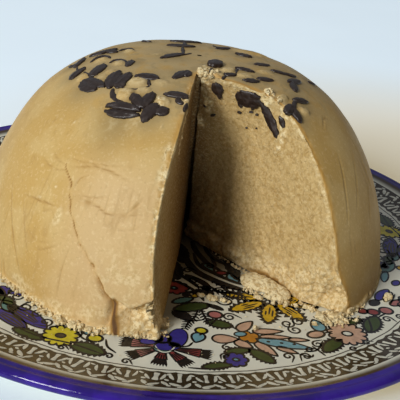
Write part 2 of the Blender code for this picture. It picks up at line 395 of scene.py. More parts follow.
class Nodes:
    """A shader tree, with short ways to add to it."""

    def __init__(self, tree):
        self.tree = tree

    def add(self, kind, **settings):
        """A node of a kind, with settings of its own."""
        made = self.tree.nodes.new(kind)
        for key, value in settings.items():
            setattr(made, key, value)
        return made

    def place(self):
        """The place on the piece, in metres."""
        return self.add("ShaderNodeTexCoord").outputs["Object"]

    def sum(self, operation, first, second, clamp=True):
        """One sum of two sockets or numbers, kept from 0 to 1 by a clamp."""
        made = self.add("ShaderNodeMath", operation=operation, use_clamp=clamp)
        feed(made.inputs[0], first)
        feed(made.inputs[1], second)
        return made.outputs[0]

    def vector(self, operation, first, second, result="Vector"):
        """One sum of two vectors."""
        made = self.add("ShaderNodeVectorMath", operation=operation)
        feed(made.inputs[0], first)
        feed(made.inputs[1], second)
        return made.outputs[result]

    def parts(self, vector):
        """The X, Y and Z of a vector."""
        made = self.add("ShaderNodeSeparateXYZ")
        feed(made.inputs[0], vector)
        return made.outputs

    def ramp(self, value, low, high):
        """A smooth step of a socket, 0 at low and 1 at high."""
        made = self.add("ShaderNodeMapRange", interpolation_type="SMOOTHSTEP")
        return fill_inputs(made, Value=value, From_Min=low, From_Max=high).outputs["Result"]

    def mix(self, share, first, second):
        """Between two colours by a mask."""
        made = self.add("ShaderNodeMix", data_type="RGBA")
        for key, value in (("Factor", share), (6, first), (7, second)):
            feed(made.inputs[key], value)
        return made.outputs[2]


def start_group(name, inputs, output):
    """A new shader group with (kind, name, default) inputs and one output: its nodes, what it
    is given and where its result goes."""
    nodes = Nodes(bpy.data.node_groups.new(name, "ShaderNodeTree"))
    for kind, title, default in inputs:
        socket = nodes.tree.interface.new_socket(title, in_out="INPUT", socket_type=kind)
        socket.default_value = default
    nodes.tree.interface.new_socket(output, in_out="OUTPUT", socket_type="NodeSocketFloat")
    return nodes, nodes.add("NodeGroupInput").outputs, nodes.add("NodeGroupOutput").inputs


def fetch_group(name, build):
    """The shader group of a name, built the first time that it is asked for."""
    return bpy.data.node_groups.get(name) or build(name)


def build_patches(name):
    """Soft patches: a noise of a size, spread between two limits into a mask from 0 to 1."""
    nodes, given, result = start_group(
        name,
        [("NodeSocketFloat", "Size", 0.01), ("NodeSocketFloat", "Low", 0.4),
         ("NodeSocketFloat", "High", 0.6), ("NodeSocketVector", "Stretch", (1.0, 1.0, 1.0))],
        "Mask")
    cloud = fill_inputs(nodes.add("ShaderNodeTexNoise"), Detail=3.0, Roughness=0.55,
                        Vector=nodes.vector("MULTIPLY", nodes.place(), given["Stretch"]),
                        Scale=nodes.sum("DIVIDE", 1.0, given["Size"], False))
    feed(result["Mask"], nodes.ramp(cloud.outputs["Fac"], given["Low"], given["High"]))
    return nodes.tree


def build_grain(name):
    """Packed grains: rounded cells of a size with a finer noise on them, as a height."""
    nodes, given, result = start_group(
        name, [("NodeSocketFloat", "Size", 0.001), ("NodeSocketFloat", "Fine", 0.5)], "Height")
    place = nodes.place()
    frequency = nodes.sum("DIVIDE", 1.0, given["Size"], False)
    cells = fill_inputs(nodes.add("ShaderNodeTexVoronoi", feature="SMOOTH_F1"), Vector=place,
                        Scale=frequency, Smoothness=0.6)
    cloud = fill_inputs(nodes.add("ShaderNodeTexNoise"), Vector=place, Detail=2.0,
                        Scale=nodes.sum("MULTIPLY", frequency, FINE_GRAIN_STEP, False))
    fine = nodes.sum("MULTIPLY", cloud.outputs["Fac"], given["Fine"], False)
    feed(result["Height"], nodes.sum("SUBTRACT", fine, cells.outputs["Distance"], False))
    return nodes.tree


class Finish(Nodes):
    """One material in the making, with its Principled shader."""

    def __init__(self, name, roughness, specular=None):
        self.material = bpy.data.materials.new(name)
        self.material.use_nodes = True
        super().__init__(self.material.node_tree)
        self.shader = self.tree.nodes["Principled BSDF"]
        feed(self.shader.inputs["Roughness"], roughness)
        if specular is not None:
            feed(self.shader.inputs["Specular IOR Level"], specular)

    def patches(self, size, low, high, stretch=(1.0, 1.0, 1.0)):
        """The mask of soft patches of a size in millimetres."""
        made = self.add("ShaderNodeGroup", node_tree=fetch_group("soft_patches", build_patches))
        fill_inputs(made, Size=size * MM, Low=low, High=high, Stretch=stretch)
        return made.outputs["Mask"]

    def grain(self, size, fine):
        """The height of packed grains of a size in millimetres."""
        made = self.add("ShaderNodeGroup", node_tree=fetch_group("packed_grain", build_grain))
        return fill_inputs(made, Size=size * MM, Fine=fine).outputs["Height"]

    def value(self, key):
        """The numbers that the mesh keeps at its points under a name."""
        return self.add("ShaderNodeAttribute", attribute_name=key).outputs["Fac"]

    def cover(self, base, mask, share, colour):
        """A colour over a base, by a share of a mask."""
        return self.mix(self.sum("MULTIPLY", mask, share), base, colour)

    def relief(self, height, strength, distance):
        """A bump of a height socket, distance in millimetres."""
        made = fill_inputs(self.add("ShaderNodeBump"), Height=height, Strength=strength,
                           Distance=distance * MM)
        feed(self.shader.inputs["Normal"], made.outputs["Normal"])

    def colour(self, value):
        """The base colour, from a socket or as it is."""
        feed(self.shader.inputs["Base Color"], value)

    def roughness(self, value):
        """The roughness, from a socket."""
        feed(self.shader.inputs["Roughness"], value)


def halva_finish(settings):
    """Smooth oily skin outside, pale grain where it is cut or crumbled, painted shade in the
    creases, the crack and deep in the cut.
    """
    finish = Finish("halva", 0.5, 0.14)
    cut = finish.value("cut")
    crease = finish.value("crease")
    crumbled = finish.value("crumbled")
    skin = finish.mix(finish.patches(16.0, 0.42, 0.62), settings.skin, settings.skin_pale)
    on_top = finish.value("on_top")
    smear = finish.sum("MULTIPLY", on_top, finish.patches(4.0, 0.54, 0.66))
    skin = finish.cover(skin, finish.value("blush"), 0.8, settings.blush)
    # Freckles, pores and streaks, then the greyer crown, its oily smears and the golden rim.
    skin = finish.cover(skin, finish.patches(1.1, 0.54, 0.68), 0.20, settings.crumb)
    skin = finish.cover(skin, finish.patches(0.9, 0.56, 0.70), 0.20, settings.deep_skin_and_crease_shade)
    streak = finish.patches(5.0, 0.55, 0.75, (1.0, 1.0, 0.22))
    skin = finish.cover(skin, streak, 0.30, settings.deep_skin_and_crease_shade)
    skin = finish.cover(skin, on_top, finish.patches(7.0, 0.30, 0.55), settings.crown)
    skin = finish.cover(skin, smear, 0.4, settings.stain)
    skin = finish.cover(skin, finish.value("oily"), 0.75, settings.stain)
    skin = finish.cover(skin, finish.value("rim"), 0.8, settings.golden)
    paste = finish.mix(finish.patches(1.5, 0.36, 0.64), settings.paste, settings.paste_pale)
    paste = finish.cover(paste, finish.patches(9.0, 0.45, 0.65), 0.4, settings.paste_pale)
    # Painted shade: the cut paste darkens towards the corner of the wedge.
    paste = finish.mix(finish.value("smeared"), paste, settings.smear)
    paste = finish.cover(paste, finish.patches(0.7, 0.50, 0.66), 0.25, settings.crumb)
    colour = finish.mix(cut, skin, paste)
    crumbs = finish.mix(finish.patches(1.2, 0.40, 0.60), settings.paste_pale, settings.crumb)
    colour = finish.cover(colour, crumbled, 0.9, crumbs)
    # Painted shade: the creases, the crack and the foot behind the broken piece darken, the
    # crack's inside most.
    colour = finish.mix(finish.ramp(crease, 0.0, 0.6), colour, settings.deep_skin_and_crease_shade)
    colour = finish.mix(finish.ramp(crease, 0.6, 0.95), colour, settings.depth)
    finish.colour(colour)
    rough = finish.sum("MAXIMUM", cut, crumbled)
    finish.roughness(finish.sum("ADD", 0.50, finish.sum("MULTIPLY", rough, 0.4)))
    height = finish.grain(1.0, 0.8)
    height = finish.sum("MULTIPLY", height, finish.sum("ADD", 0.14, rough))
    finish.relief(height, 0.9, 0.55)
    return finish.material


def crumb_finish(settings):
    """Pale grainy paste of the crumbs and the broken piece."""
    finish = Finish("halva_crumbled", 0.88)
    colour = finish.mix(finish.patches(1.3, 0.34, 0.56), settings.paste_pale, settings.crumb)
    finish.colour(finish.mix(finish.patches(7.0, 0.54, 0.75), colour, settings.paste))
    finish.relief(finish.grain(0.9, 0.8), 0.9, 0.5)
    return finish.material


def chocolate_finish(settings):
    """Near-black chocolate: satin, with a dusty bloom on parts of it."""
    finish = Finish("dark_chocolate", 0.5, 0.5)
    bloom = finish.patches(1.6, 0.45, 0.72)
    bloomed = tuple(0.010 + 1.4 * part for part in settings.chocolate)
    finish.colour(finish.mix(bloom, settings.chocolate, bloomed))
    finish.roughness(finish.sum("ADD", 0.33, finish.sum("MULTIPLY", bloom, 0.25)))
    finish.relief(finish.grain(0.6, 0.8), 0.4, 0.10)
    return finish.material


def plate_finish(settings):
    """Glaze in rings: cream ground with painted shade towards the middle, shaded band, cobalt lip,
    cream underside, bare foot.
    """
    finish = Finish("plate_glaze", 0.12, 0.3)
    place = finish.place()
    height = finish.parts(place)["Z"]
    flat = finish.vector("MULTIPLY", place, (1.0, 1.0, 0.0))
    out = finish.vector("DISTANCE", flat, (0.0, 0.0, 0.0), "Value")
    glaze = finish.cover(settings.glaze, finish.patches(22.0, 0.35, 0.70), 0.45,
                         dimmed(settings.glaze, 0.86))
    # Painted shade: darker ground towards the middle and in a pool inside the wedge.
    middle, rim = SHADE_RADII
    away = finish.vector("DISTANCE", place, SHADE_POOL_CENTRE * MM, "Value")
    shade_pool = finish.ramp(away, SHADE_POOL_REACH * MM, SHADE_POOL_CORE * MM)
    painted_middle_shade = finish.sum("MAXIMUM", finish.ramp(out, rim * MM, middle * MM),
                      finish.sum("MULTIPLY", shade_pool, SHADE_POOL_STRENGTH))
    glaze = finish.mix(painted_middle_shade, glaze, settings.painted_middle_shade)
    band = finish.mix(finish.ramp(out, BAND_RADIUS * MM, (BAND_RADIUS + 3.0) * MM), glaze,
                      settings.band)
    blue = finish.mix(finish.patches(9.0, 0.35, 0.65), settings.cobalt,
                      dimmed(settings.cobalt, 0.62))
    upper = finish.mix(finish.ramp(out, (COBALT_RADIUS - 1.2) * MM, COBALT_RADIUS * MM), band,
                       blue)
    cream, lip = UNDER_HEIGHTS
    glazed, bare = FOOT_HEIGHTS
    under = finish.mix(finish.ramp(height, cream * MM, lip * MM), settings.glaze, blue)
    below = finish.ramp(height, glazed * MM, bare * MM)
    under = finish.mix(below, under, settings.foot)
    outward = finish.add("ShaderNodeNewGeometry").outputs["Normal"]
    facing = finish.ramp(finish.parts(outward)["Z"], -0.3, 0.0)
    finish.colour(finish.mix(facing, under, upper))
    speck = finish.patches(2.0, 0.55, 0.75)
    rough = finish.sum("ADD", 0.10, finish.sum("MULTIPLY", speck, 0.10))
    finish.roughness(finish.sum("ADD", rough, finish.sum("MULTIPLY", below, 0.6)))
    finish.relief(finish.patches(7.0, 0.2, 0.8), 0.25, 0.25)
    return finish.material


def paint_finish(name, colour):
    """Brushed paint under the glaze: the colour pools darker in places."""
    finish = Finish(f"paint_{name}", 0.14, 0.3)
    pool = finish.patches(2.4, 0.35, 0.70)
    finish.colour(finish.cover(colour, pool, 0.55, dimmed(colour, 0.62)))
    finish.roughness(finish.sum("ADD", 0.12, finish.sum("MULTIPLY", pool, 0.08)))
    return finish.material


def floor_finish(settings):
    """Plain pale cloth: barely uneven, matt, painted darker in front, with a painted glow for its
    sheen and a painted shadow in the lee of the plate.
    """
    finish = Finish("pale_floor", 0.9)
    place = finish.place()
    cloth = finish.mix(finish.patches(120.0, 0.35, 0.65), settings.floor,
                       dimmed(settings.floor, 0.97))
    finish.colour(finish.mix(finish.ramp(finish.parts(place)["Y"], *NEAR_FLOOR_SHADE),
                             settings.floor_near_shade, cloth))
    # Painted sheen of the floor, turning to a painted shadow in the lee of the plate.
    away = finish.vector("DISTANCE", place, LEE_CENTRE, "Value")
    glow = finish.mix(finish.ramp(away, *LEE_RADII), settings.floor_shade, settings.floor_glow)
    fill_inputs(finish.shader, Emission_Color=glow, Emission_Strength=1.0)
    return finish.material


# ---- The plate and its painting ----

# Rings of the glaze by radius: the painted shade of the middle, where the halva shades the ground,
# fades out between two, then come the brown band and the blue lip.  A smaller pool of painted
# shade lies at a place, fading over its reach.
BAND_RADIUS = 115.1
SHADE_RADII = (30.0, 58.0)
SHADE_POOL_CENTRE = np.array((1.6, -63.0, 9.0))
SHADE_POOL_REACH = 15.0
SHADE_POOL_CORE = 6.0
SHADE_POOL_STRENGTH = 0.8
# Heights underneath: where cream turns into the blue of the lip, and glaze into bare clay.
UNDER_HEIGHTS = (7.6, 9.6)
FOOT_HEIGHTS = (0.6, 0.3)
COBALT_RADIUS = 119.7
PLATE_STEPS = 256


def plate_height(radius):
    """The glaze's height: level in the field, then rising as a power of the way out."""
    part = np.maximum(radius - FIELD_RADIUS, 0) / (BORDER_RADIUS - FIELD_RADIUS)
    return FIELD_HEIGHT + BORDER_RISE * part ** BORDER_POWER


def plate_profile():
    """The turned outline as (radius, height): over the top, round the lip and back below."""
    field = np.linspace(0.0, FIELD_RADIUS, 22)
    border = np.linspace(FIELD_RADIUS, BORDER_RADIUS, 18)[1:]
    top = np.concatenate((field, border))
    upper = stacked(top, plate_height(top))
    lip = (PLATE_RADIUS - BORDER_RADIUS) / 2
    angle = np.radians(np.linspace(128.0, -105.0, 18))
    rolled = stacked(PLATE_RADIUS - lip + lip * np.cos(angle),
                     LIP_HEIGHT - 0.85 * lip * (1 - np.sin(angle)))
    under = FIELD_HEIGHT - PLATE_WALL
    inner, outer = FOOT_RADIUS - FOOT_WIDTH / 2, FOOT_RADIUS + FOOT_WIDTH / 2
    back = smooth_path([(BORDER_RADIUS - 1.5, under + 5.4), (BORDER_RADIUS - 9.0, under + 2.9),
                        (FIELD_RADIUS, under + 0.6), (outer + 2.5, under)], 4)
    foot = [(outer + 0.6, under - 0.5), (outer, under - 1.6), (outer - 0.2, 0.5),
            (outer - 0.9, 0.0), (inner + 0.9, 0.0), (inner + 0.2, 0.5), (inner, under - 1.6),
            (inner - 0.6, under - 0.5), (inner - 2.5, under), (inner / 2, under), (0.0, under)]
    return np.concatenate((upper, rolled, back, foot))


def plate_shape():
    """The outline spun about Z."""
    profile = plate_profile()
    radius, height = profile[:, :1], profile[:, 1:]
    angle = circle(PLATE_STEPS)
    points = stacked(radius * np.cos(angle), radius * np.sin(angle), height).reshape(-1, 3)
    kept, _, triangles = welded(points, grid_faces(len(profile), PLATE_STEPS, True))
    return points[kept], triangles


def circle(count):
    """Angles all the way round."""
    return np.arange(count) * TAU / count


def polar(reach, angle):
    """Plan points at distances and angles from the middle."""
    return stacked(reach * np.cos(angle), reach * np.sin(angle))


def bar(start, end, across=0.0, count=6):
    """Plan points along X from start to end, at one Y."""
    return stacked(np.linspace(start, end, count), np.full(count, across))


def oval(long, wide):
    """An ellipse."""
    t = circle(26)
    return stacked(long / 2 * np.cos(t), wide / 2 * np.sin(t))


def drop(long, wide, bend=0.0):
    """A drop with its tip at -X: an ellipse thinned by the cosine of half the angle."""
    t = circle(34)
    x = long / 2 * np.cos(t)
    y = 0.62 * wide * np.sin(t) * np.abs(np.cos(t / 2)) ** 0.7
    return stacked(x, y + bend * long * (x / long - 0.5) ** 2)


def leaf(long, wide, bend=0.0, teeth=0, tooth=0.0):
    """A leaf with a point at each end, bent like a bow; teeth notch its edge."""
    t = circle(36 if not teeth else 4 * teeth)
    x = long / 2 * np.cos(t)
    side = np.sin(t)
    y = wide / 2 * np.sign(side) * np.abs(side) ** 1.35
    if teeth:
        y = y * (1 + tooth * np.where(np.arange(len(t)) % 2, 1.0, -1.0))
    return stacked(x, y + bend * long * (0.25 - (x / long) ** 2))


def daisy(radius, petals, notch=0.24):
    """A flower's outline: the radius dips by the root of a cosine between the petals."""
    t = circle(petals * 8)
    return polar(radius * (1 - notch * (1 - np.abs(np.cos(petals * t / 2)) ** 0.55)), t)


def placed(shape, x, y, turn=0.0):
    """A plan shape turned, in degrees, and moved."""
    return turned(shape, turn) + np.array((x, y))


# How far a slab of paint reaches down into the glaze, in layers.
SUNK = -2


class Painting:
    """Thin closed slabs of paint that follow the glaze, gathered by colour.

    A slab reaches a little below the glaze.  A higher layer stands a little prouder, so that
    outlines lie over fills.
    """

    def __init__(self, stroke):
        self.layer_height = stroke / MM / 2
        self.slabs = {}
        self.turn = 0.0

    def lay(self, plan, layer):
        """Plan points on the glaze, lifted to a layer."""
        plan = turned(plan, self.turn)
        radius = np.linalg.norm(plan, axis=1)
        return np.column_stack((plan, plate_height(radius) + self.layer_height * layer))

    def keep(self, colour, points, faces, loops):
        """Adds one slab to a colour."""
        self.slabs.setdefault(colour, []).append((points, faces, loops))

    def fill(self, colour, outline, layer=1):
        """A filled outline."""
        x, y = outline.T
        if (x * np.roll(y, -1) - np.roll(x, -1) * y).sum() < 0:
            outline = outline[::-1]
        count = len(outline)
        top = self.lay(outline, layer)
        low = self.lay(outline, SUNK)
        here = np.arange(count)
        after = np.roll(here, -1)
        sides = stacked(count + here, count + after, after, here)
        self.keep(colour, np.concatenate((top, low)), sides,
                  [here, count + here[::-1]])

    def line(self, path, width, colour="line", layer=3, closed=False, taper=0.0):
        """A brush stroke along a plan path: its edges are the path moved half the width to
        each side, and taper thins both ends."""
        path = np.asarray(path, float)
        count = len(path)
        if closed:
            along = np.roll(path, -1, axis=0) - np.roll(path, 1, axis=0)
        else:
            along = np.gradient(path, axis=0)
        part = np.linspace(0.0, 1.0, count)
        half = width / 2 * (1 - taper * (2 * part - 1) ** 4)
        if closed:
            half = np.full(count, width / 2)
        side = unit(stacked(-along[:, 1], along[:, 0])) * half[:, None]
        edges = [self.lay(path + side, layer), self.lay(path - side, layer),
                 self.lay(path - side, SUNK), self.lay(path + side, SUNK)]
        here = np.arange(count if closed else count - 1)
        after = (here + 1) % count
        faces = [stacked(lower * count + here, lower * count + after,
                         upper * count + after, upper * count + here)
                 for upper, lower in ((0, 1), (1, 2), (2, 3), (3, 0))]
        if not closed:
            ends = np.arange(4) * count
            faces.append(np.array([ends[[0, 3, 2, 1]], ends[[1, 2, 3, 0]] + count - 1]))
        self.keep(colour, np.concatenate(edges), np.concatenate(faces), [])

    def motif(self, colour, outline, rim, layer=1):
        """A filled outline with a black line round it."""
        self.fill(colour, outline, layer)
        self.line(outline, rim, layer=layer + 1, closed=True)

    def curl(self, x, y, radius, start, turns, width):
        """A spiral stroke: the radius grows evenly with the angle, then runs off straight."""
        part = np.linspace(0.0, 1.0, 30)
        angle = math.radians(start) + np.sign(turns) * (1 - part) * abs(turns) * TAU
        reach = radius * (0.16 + 0.84 * part)
        spiral = polar(reach, angle) + (x, y)
        step = unit(spiral[-1] - spiral[-2])
        away = spiral[-1] + step * np.linspace(0.3, radius * 1.2, 6)[:, None]
        self.line(np.concatenate((spiral, away)), width, taper=0.7)

    def pieces(self, settings):
        """One piece of the object for each colour."""
        for colour, slabs in self.slabs.items():
            points, faces = joined([slab[:2] for slab in slabs])
            loops, start = [], 0
            for slab_points, _, slab_loops in slabs:
                loops.extend(loop + start for loop in slab_loops)
                start += len(slab_points)
            make_piece(f"painted_{colour}", points, faces,
                       paint_finish(colour, getattr(settings, colour)),
                       loops=loops, smooth=False)


def carnation(paint, x, y):
    """Striped red petals fanned under a calyx, each ending in a black toothed rim."""
    for turn, reach, spread, colour in ((176, 11.0, 13, "rose"), (212, 9.8, 12, "rose"),
                                        (263, 7.0, 16, "red"), (313, 8.6, 14, "red"),
                                        (353, 12.0, 11, "red")):
        across = np.radians(np.linspace(-spread, spread, 13))
        teeth = np.where(np.arange(13) % 2, 1.0, 0.0)
        inner, edge = polar(3.0, across), polar(reach, across)
        tips = (reach + 2.6 + 1.3 * teeth) / reach
        rim = edge * tips[:, None]
        paint.fill("line", placed(np.concatenate((edge * 0.9, rim[::-1])), x, y, turn), 1)
        petal = placed(np.concatenate((inner, edge[::-1])), x, y, turn)
        paint.motif(colour, petal, 0.7, 2)
        for share in (-0.5, 0.0, 0.5):
            ray = bar(4.2, reach * 1.02)
            paint.line(placed(ray, x, y, turn + spread * share), 0.5, layer=4, taper=0.8)
    paint.motif("teal", placed(daisy(3.2, 5, 0.2), x - 0.6, y - 0.4), 0.6, 4)
    paint.line(placed(smooth_path([(-3.4, 0.6), (-1.8, -2.2), (0, -3.1), (1.8, -2.2),
                                   (3.4, 0.6)], 5), x, y), 0.5, "glaze", 6)


def lotus(paint, x, y):
    """Pointed amber petals with dark toothed edges and dark stripes, round a hub of crossed
    lines."""
    for dx, dy, long, wide, turn in ((-10.4, 3.2, 11.5, 3.8, 177), (-8.6, -3.4, 13.0, 4.2, 214),
                                     (-1.0, -6.6, 12.0, 4.6, 263), (6.6, -4.4, 12.0, 4.4, -46),
                                     (10.8, 1.0, 10.0, 2.8, 0), (8.0, 4.2, 8.0, 3.2, 50)):
        paint.fill("line", placed(leaf(long + 3.4, wide + 3.2, 0.0, 10, 0.26), x + dx, y + dy,
                                  turn), 1)
        paint.fill("amber", placed(leaf(long, wide, 0.0, 8, 0.10), x + dx, y + dy, turn), 2)
        for shift, start, end in ((-0.26, -0.2, 0.3), (0.0, -0.7, 0.2), (0.26, -0.4, 0.4)):
            streak = bar(start * long / 2, end * long / 2, shift * wide, 7)
            paint.line(placed(streak, x + dx, y + dy, turn), 0.65, layer=4, taper=0.9)
    for turn in (6, 50, 96, 142):
        paint.line(placed(bar(-4.6, 4.6), x - 0.6, y + 3.2, turn), 0.9, taper=0.7)


def lily(paint, x, y):
    """Pink petals, long ones streaming to the right, with a blue feather among them."""
    for dx, dy, long, wide, turn, bend in (
            (-1.4, 6.9, 8.4, 4.2, 62, 0.10), (-8.0, -2.2, 8.8, 5.0, 18, 0.12),
            (-1.8, -4.6, 6.6, 4.0, -22, 0.05), (5.7, -6.0, 9.8, 3.8, -40, 0.06),
            (12.6, -5.4, 7.4, 2.6, -16, 0.06), (6.6, 4.6, 10.6, 3.2, 8, -0.05),
            (9.0, 1.9, 11.0, 2.6, 10, 0.05), (16.8, 1.6, 7.0, 2.2, 10, 0.05)):
        paint.motif("pink", placed(drop(long, wide, bend), x + dx, y + dy, turn + 180), 0.75, 1)
    paint.motif("sky", placed(drop(18.6, 4.6, 0.02), x + 12.0, y - 2.0, 175), 0.75, 2)
    for along in (6.4, 10.8, 15.0):
        paint.fill("line", placed(oval(1.3, 1.0), x + along, y - 1.6), 4)
    paint.motif("orange", placed(daisy(3.6, 4, 0.36), x, y, 30), 0.7, 3)
    paint.motif("sky", placed(oval(4.2, 2.7), x - 2.9, y + 1.2, 16), 0.6, 5)


def pansy(paint, x, y):
    """Violet lobes, as overlapping ovals."""
    for dx, dy, long, wide, turn in ((-4.9, -0.9, 8.0, 4.4, 24), (0.4, -3.4, 8.6, 5.0, 14),
                                     (-1.6, 0.8, 6.4, 6.0, 30), (3.4, 2.0, 6.4, 11.4, -8)):
        paint.motif("violet", placed(oval(long, wide), x + dx, y + dy, turn), 0.4, 5)


def iris(paint, x, y, turn):
    """Two long violet petals with dark streaks, side by side."""
    for across, long, wide in ((2.6, 19.0, 6.4), (-2.4, 17.0, 5.4)):
        petal = leaf(long, wide, 0.10) + np.array((0.6 * across, across))
        paint.motif("violet", placed(petal, x, y, turn), 0.7, 1)
        for shift in (-1.4, 0.0, 1.4):
            streak = smooth_path([(-long * 0.36, across + shift * 0.5),
                                  (0.0, across + shift + long * 0.02),
                                  (long * 0.34, across + shift * 0.4)], 6)
            paint.line(placed(streak, x, y, turn), 0.7, "scroll", 3, taper=0.8)


def fern(paint, path, barb, width):
    """A dark spray: a stem with slanting barbs on both sides, longest in the middle."""
    stem = smooth_path(path, 6)
    paint.line(stem, width, taper=0.8)
    along = unit(np.gradient(stem, axis=0))
    across = stacked(-along[:, 1], along[:, 0])
    for place in range(1, len(stem) - 1, 2):
        reach = barb * (0.5 + 0.5 * math.sin(math.pi * place / len(stem)))
        for side in (-1, 1):
            tip = stem[place] + (side * across[place] + 0.7 * along[place]) * reach
            paint.line(np.linspace(stem[place], tip, 4), 0.8 * width, taper=0.7)


# Garland rows: colour, place, length, width, turn and bend, in the plate's plan.
LEAVES = (
    ("green", -42, -90, 10.5, 4, -26, 0.1), ("green", -53, -71, 7, 3.5, -40, 0.1),
    ("green", -22, -95, 11.5, 6, -16, 0.12), ("green", 19.5, -72, 8.5, 4.5, -10, -0.06),
    ("green", 25.5, -87.5, 8, 3, 18, 0.05), ("green", 33.5, -89, 9.5, 4.5, -38, 0.04),
    ("green", 19, -97, 9, 3, 17, 0.04), ("green", 58, -78, 11.5, 5, 52, 0.12),
    ("green", 73.5, -62, 11.5, 6, 68, 0.06), ("green", 66.5, -61.5, 7.5, 3, 30, 0.05),
    ("violet", 80.5, -40, 11, 4, 58, 0.08), ("glaze", 82.5, -41, 8.5, 3, 65, 0.05),
    ("violet", 87.5, -29.5, 5, 3, 60, 0.05), ("sky", 84, -25, 9.5, 3, 76, 0.06),
    ("teal", 86.5, -16.5, 11.5, 5.5, 62, 0.05), ("teal", 90.5, -7, 8.5, 5, 66, 0.05),
    ("line", 76.5, -46.5, 5.5, 3.5, 55, 0),
)
DROPS = (
    ("sky", 12.5, -82, 6, 4.5, 76, 0), ("sky", 53.5, -66.5, 7.5, 5, -66, 0.05),
    ("sky", -23, -85.5, 4.5, 3, 10, 0), ("teal", -32, -80, 4, 3, 0, 0),
)
# Ovals have no bend.
OVALS = (
    ("yellow", -20.5, -88.5, 5, 4, 0), ("yellow", 13.5, -77.5, 4, 3.5, 0),
    ("rose", 18, -66.5, 5, 4.5, 0), ("pink", 52.5, -72.5, 6.5, 4, 28),
    ("rose", 80, -51.5, 5, 4.5, 0), ("rose", 85, -45, 6.5, 3.5, 40),
    ("red", 75, -53.5, 4.5, 4, 0), ("red", 71, -53.5, 4, 3.5, 0), ("amber", 92, -16.5, 4, 3.5, 0),
)
# Daisies: colour, place, radius, petals and the colour of the eye.
FLOWERS = (
    ("yellow", -31.5, -89, 6, 12, "scroll"), ("pink", 63.5, -70, 7, 13, "glaze"),
    ("violet", 25, -92.5, 4, 7, "sky"), ("teal", 89.5, -42.5, 3.5, 8, "amber"),
    ("teal", 93.5, -35.5, 3, 8, "orange"),
)
# Curls: place, radius, where they start, in degrees, and turns.
CURLS = (
    (-46, -74, 2.5, 200, 1.4), (-41, -77.5, 2.5, 30, 1.4), (-37.5, -82, 2.5, 250, 1.4),
    (-50, -68, 2.5, 90, -1.4), (-30, -95.5, 1.5, 20, 1.2), (-15, -97.5, 1.5, 150, -1.2),
    (23, -67, 2.5, 40, 1.5), (42, -87.5, 2, 330, 1.3), (48, -86.5, 2, 200, -1.3),
    (52.5, -78.5, 2, 100, 1.3), (45.5, -71, 2.5, 150, 1.4), (43, -67.5, 2.5, 20, -1.4),
    (47, -65.5, 2.5, 60, 1.4), (22, -86, 1.5, 120, 1.2), (21.5, -91, 1.5, 200, -1.3),
    (49.5, -82.5, 1.5, 60, 1.2), (69.5, -74.5, 1.5, 60, 1.3), (64.5, -79, 1.5, 300, -1.3),
    (79.5, -57.5, 2, 20, 1.3), (87, -46.5, 2, 120, 1.3), (84.5, -54.5, 1.5, 250, -1.2),
    (91.5, -49.5, 1.5, 60, 1.2), (-9.5, -99.5, 1.5, 10, 1.2),
)
# Paths of the thin stems.
STEMS = (
    ((-45, -87.5), (-37, -91), (-27, -93), (-17, -97)), ((-50, -78.5), (-45, -70.5), (-41, -74.5)),
    ((-36, -85.5), (-32, -82.5), (-28, -83.5), (-25, -88.5)),
    ((-24, -84.5), (-25, -88.5), (-20, -91.5)),
    ((-17, -88.5), (-16, -92.5), (-13, -95.5)), ((10, -99.5), (17, -99), (25, -96)),
    ((14, -79), (13, -80.5)), ((11, -85), (9.5, -87.5), (6.5, -88.5)), ((16, -74.5), (19, -68.5)),
    ((23, -72.5), (25.5, -74.5), (27, -76.5)), ((47.5, -84), (52, -82), (54.5, -76)),
    ((50.5, -80), (53, -83), (54.5, -85)), ((55.5, -71), (58.5, -69.5)),
    ((69.5, -68.5), (72.5, -66), (72.5, -57.5)), ((56, -63), (52.5, -61)),
    ((76.5, -56.5), (79.5, -53.5)), ((82.5, -46.5), (85.5, -38.5)),
    ((45.5, -85.5), (49.5, -86.5), (50.5, -85)),
)
# The same for the middle of the plate, which shows only in the wedge.
MIDDLE_LEAVES = (
    ("teal", 6.5, -59, 8.5, 3.5, 32, 0.04), ("green", 10, -63, 14, 5.5, 25, 0.05),
    ("line", 6.5, -69, 7, 4.5, -30, 0.1), ("sky", 24.5, -39, 7.5, 4.5, -70, 0),
    ("red", 20, -36, 5, 3, 15, 0), ("line", 3, -37.5, 14, 4.5, -82, 0.05),
    ("teal", 15, -32.5, 7, 2.5, -50, 0.1), ("line", 13.5, -52, 7.5, 3.5, -6, 0.1),
    ("line", 24, -31.5, 18, 4.5, -76, 0.05), ("line", 18, -61.5, 6, 2, -25, 0.1),
    ("line", 4, -23, 16, 6, -82, 0), ("line", 8.5, -54, 5, 2.5, 40, 0.1),
)
# Broad dark sweeps there, as width and path.
SWEEPS = (
    (3.5, ((5, -21), (7, -29.5), (10.5, -36.5), (15.5, -41), (22.5, -45), (31, -48))),
    (2, ((9, -22), (11.5, -31.5), (17.5, -37), (25, -42), (30.5, -43.5))),
    (3, ((6.5, -40), (11, -43), (14.5, -46.5), (15.5, -52))),
    (2, ((1, -38), (5, -41), (9, -45), (12, -49))),
    (1.5, ((15.5, -46.5), (19.5, -50.5), (24, -50.5), (29, -52))),
    (1.5, ((1.5, -45), (8.5, -49.5), (12.5, -54.5), (14, -58))),
    (1, ((3, -66.5), (8, -72), (14.5, -70.5))), (1.5, ((16, -24), (18, -31))),
    (1.5, ((20.5, -47), (23, -49.5), (28, -50))),
    (2.5, ((8, -12), (10, -20), (14.5, -29), (20.5, -35))),
    (2, ((13, -16), (16.5, -24), (22, -29.5))),
    (2.5, ((1.5, -26), (1.5, -36), (2.5, -45.5))),
)
# Dark sprays there, as barb length and path.
FERNS = (
    (2, ((12, -64.5), (11, -69.5), (9, -73.5), (8, -77.5))),
    (2, ((13, -64), (14.5, -68.5), (16, -72.5))),
    (2, ((10, -46.5), (14, -49.5), (19, -50.5), (23.5, -51))),
    (1.5, ((16, -43), (21, -46.5), (27, -48), (32, -50))),
    (1.5, ((20, -54), (25, -53), (29, -53))),
)


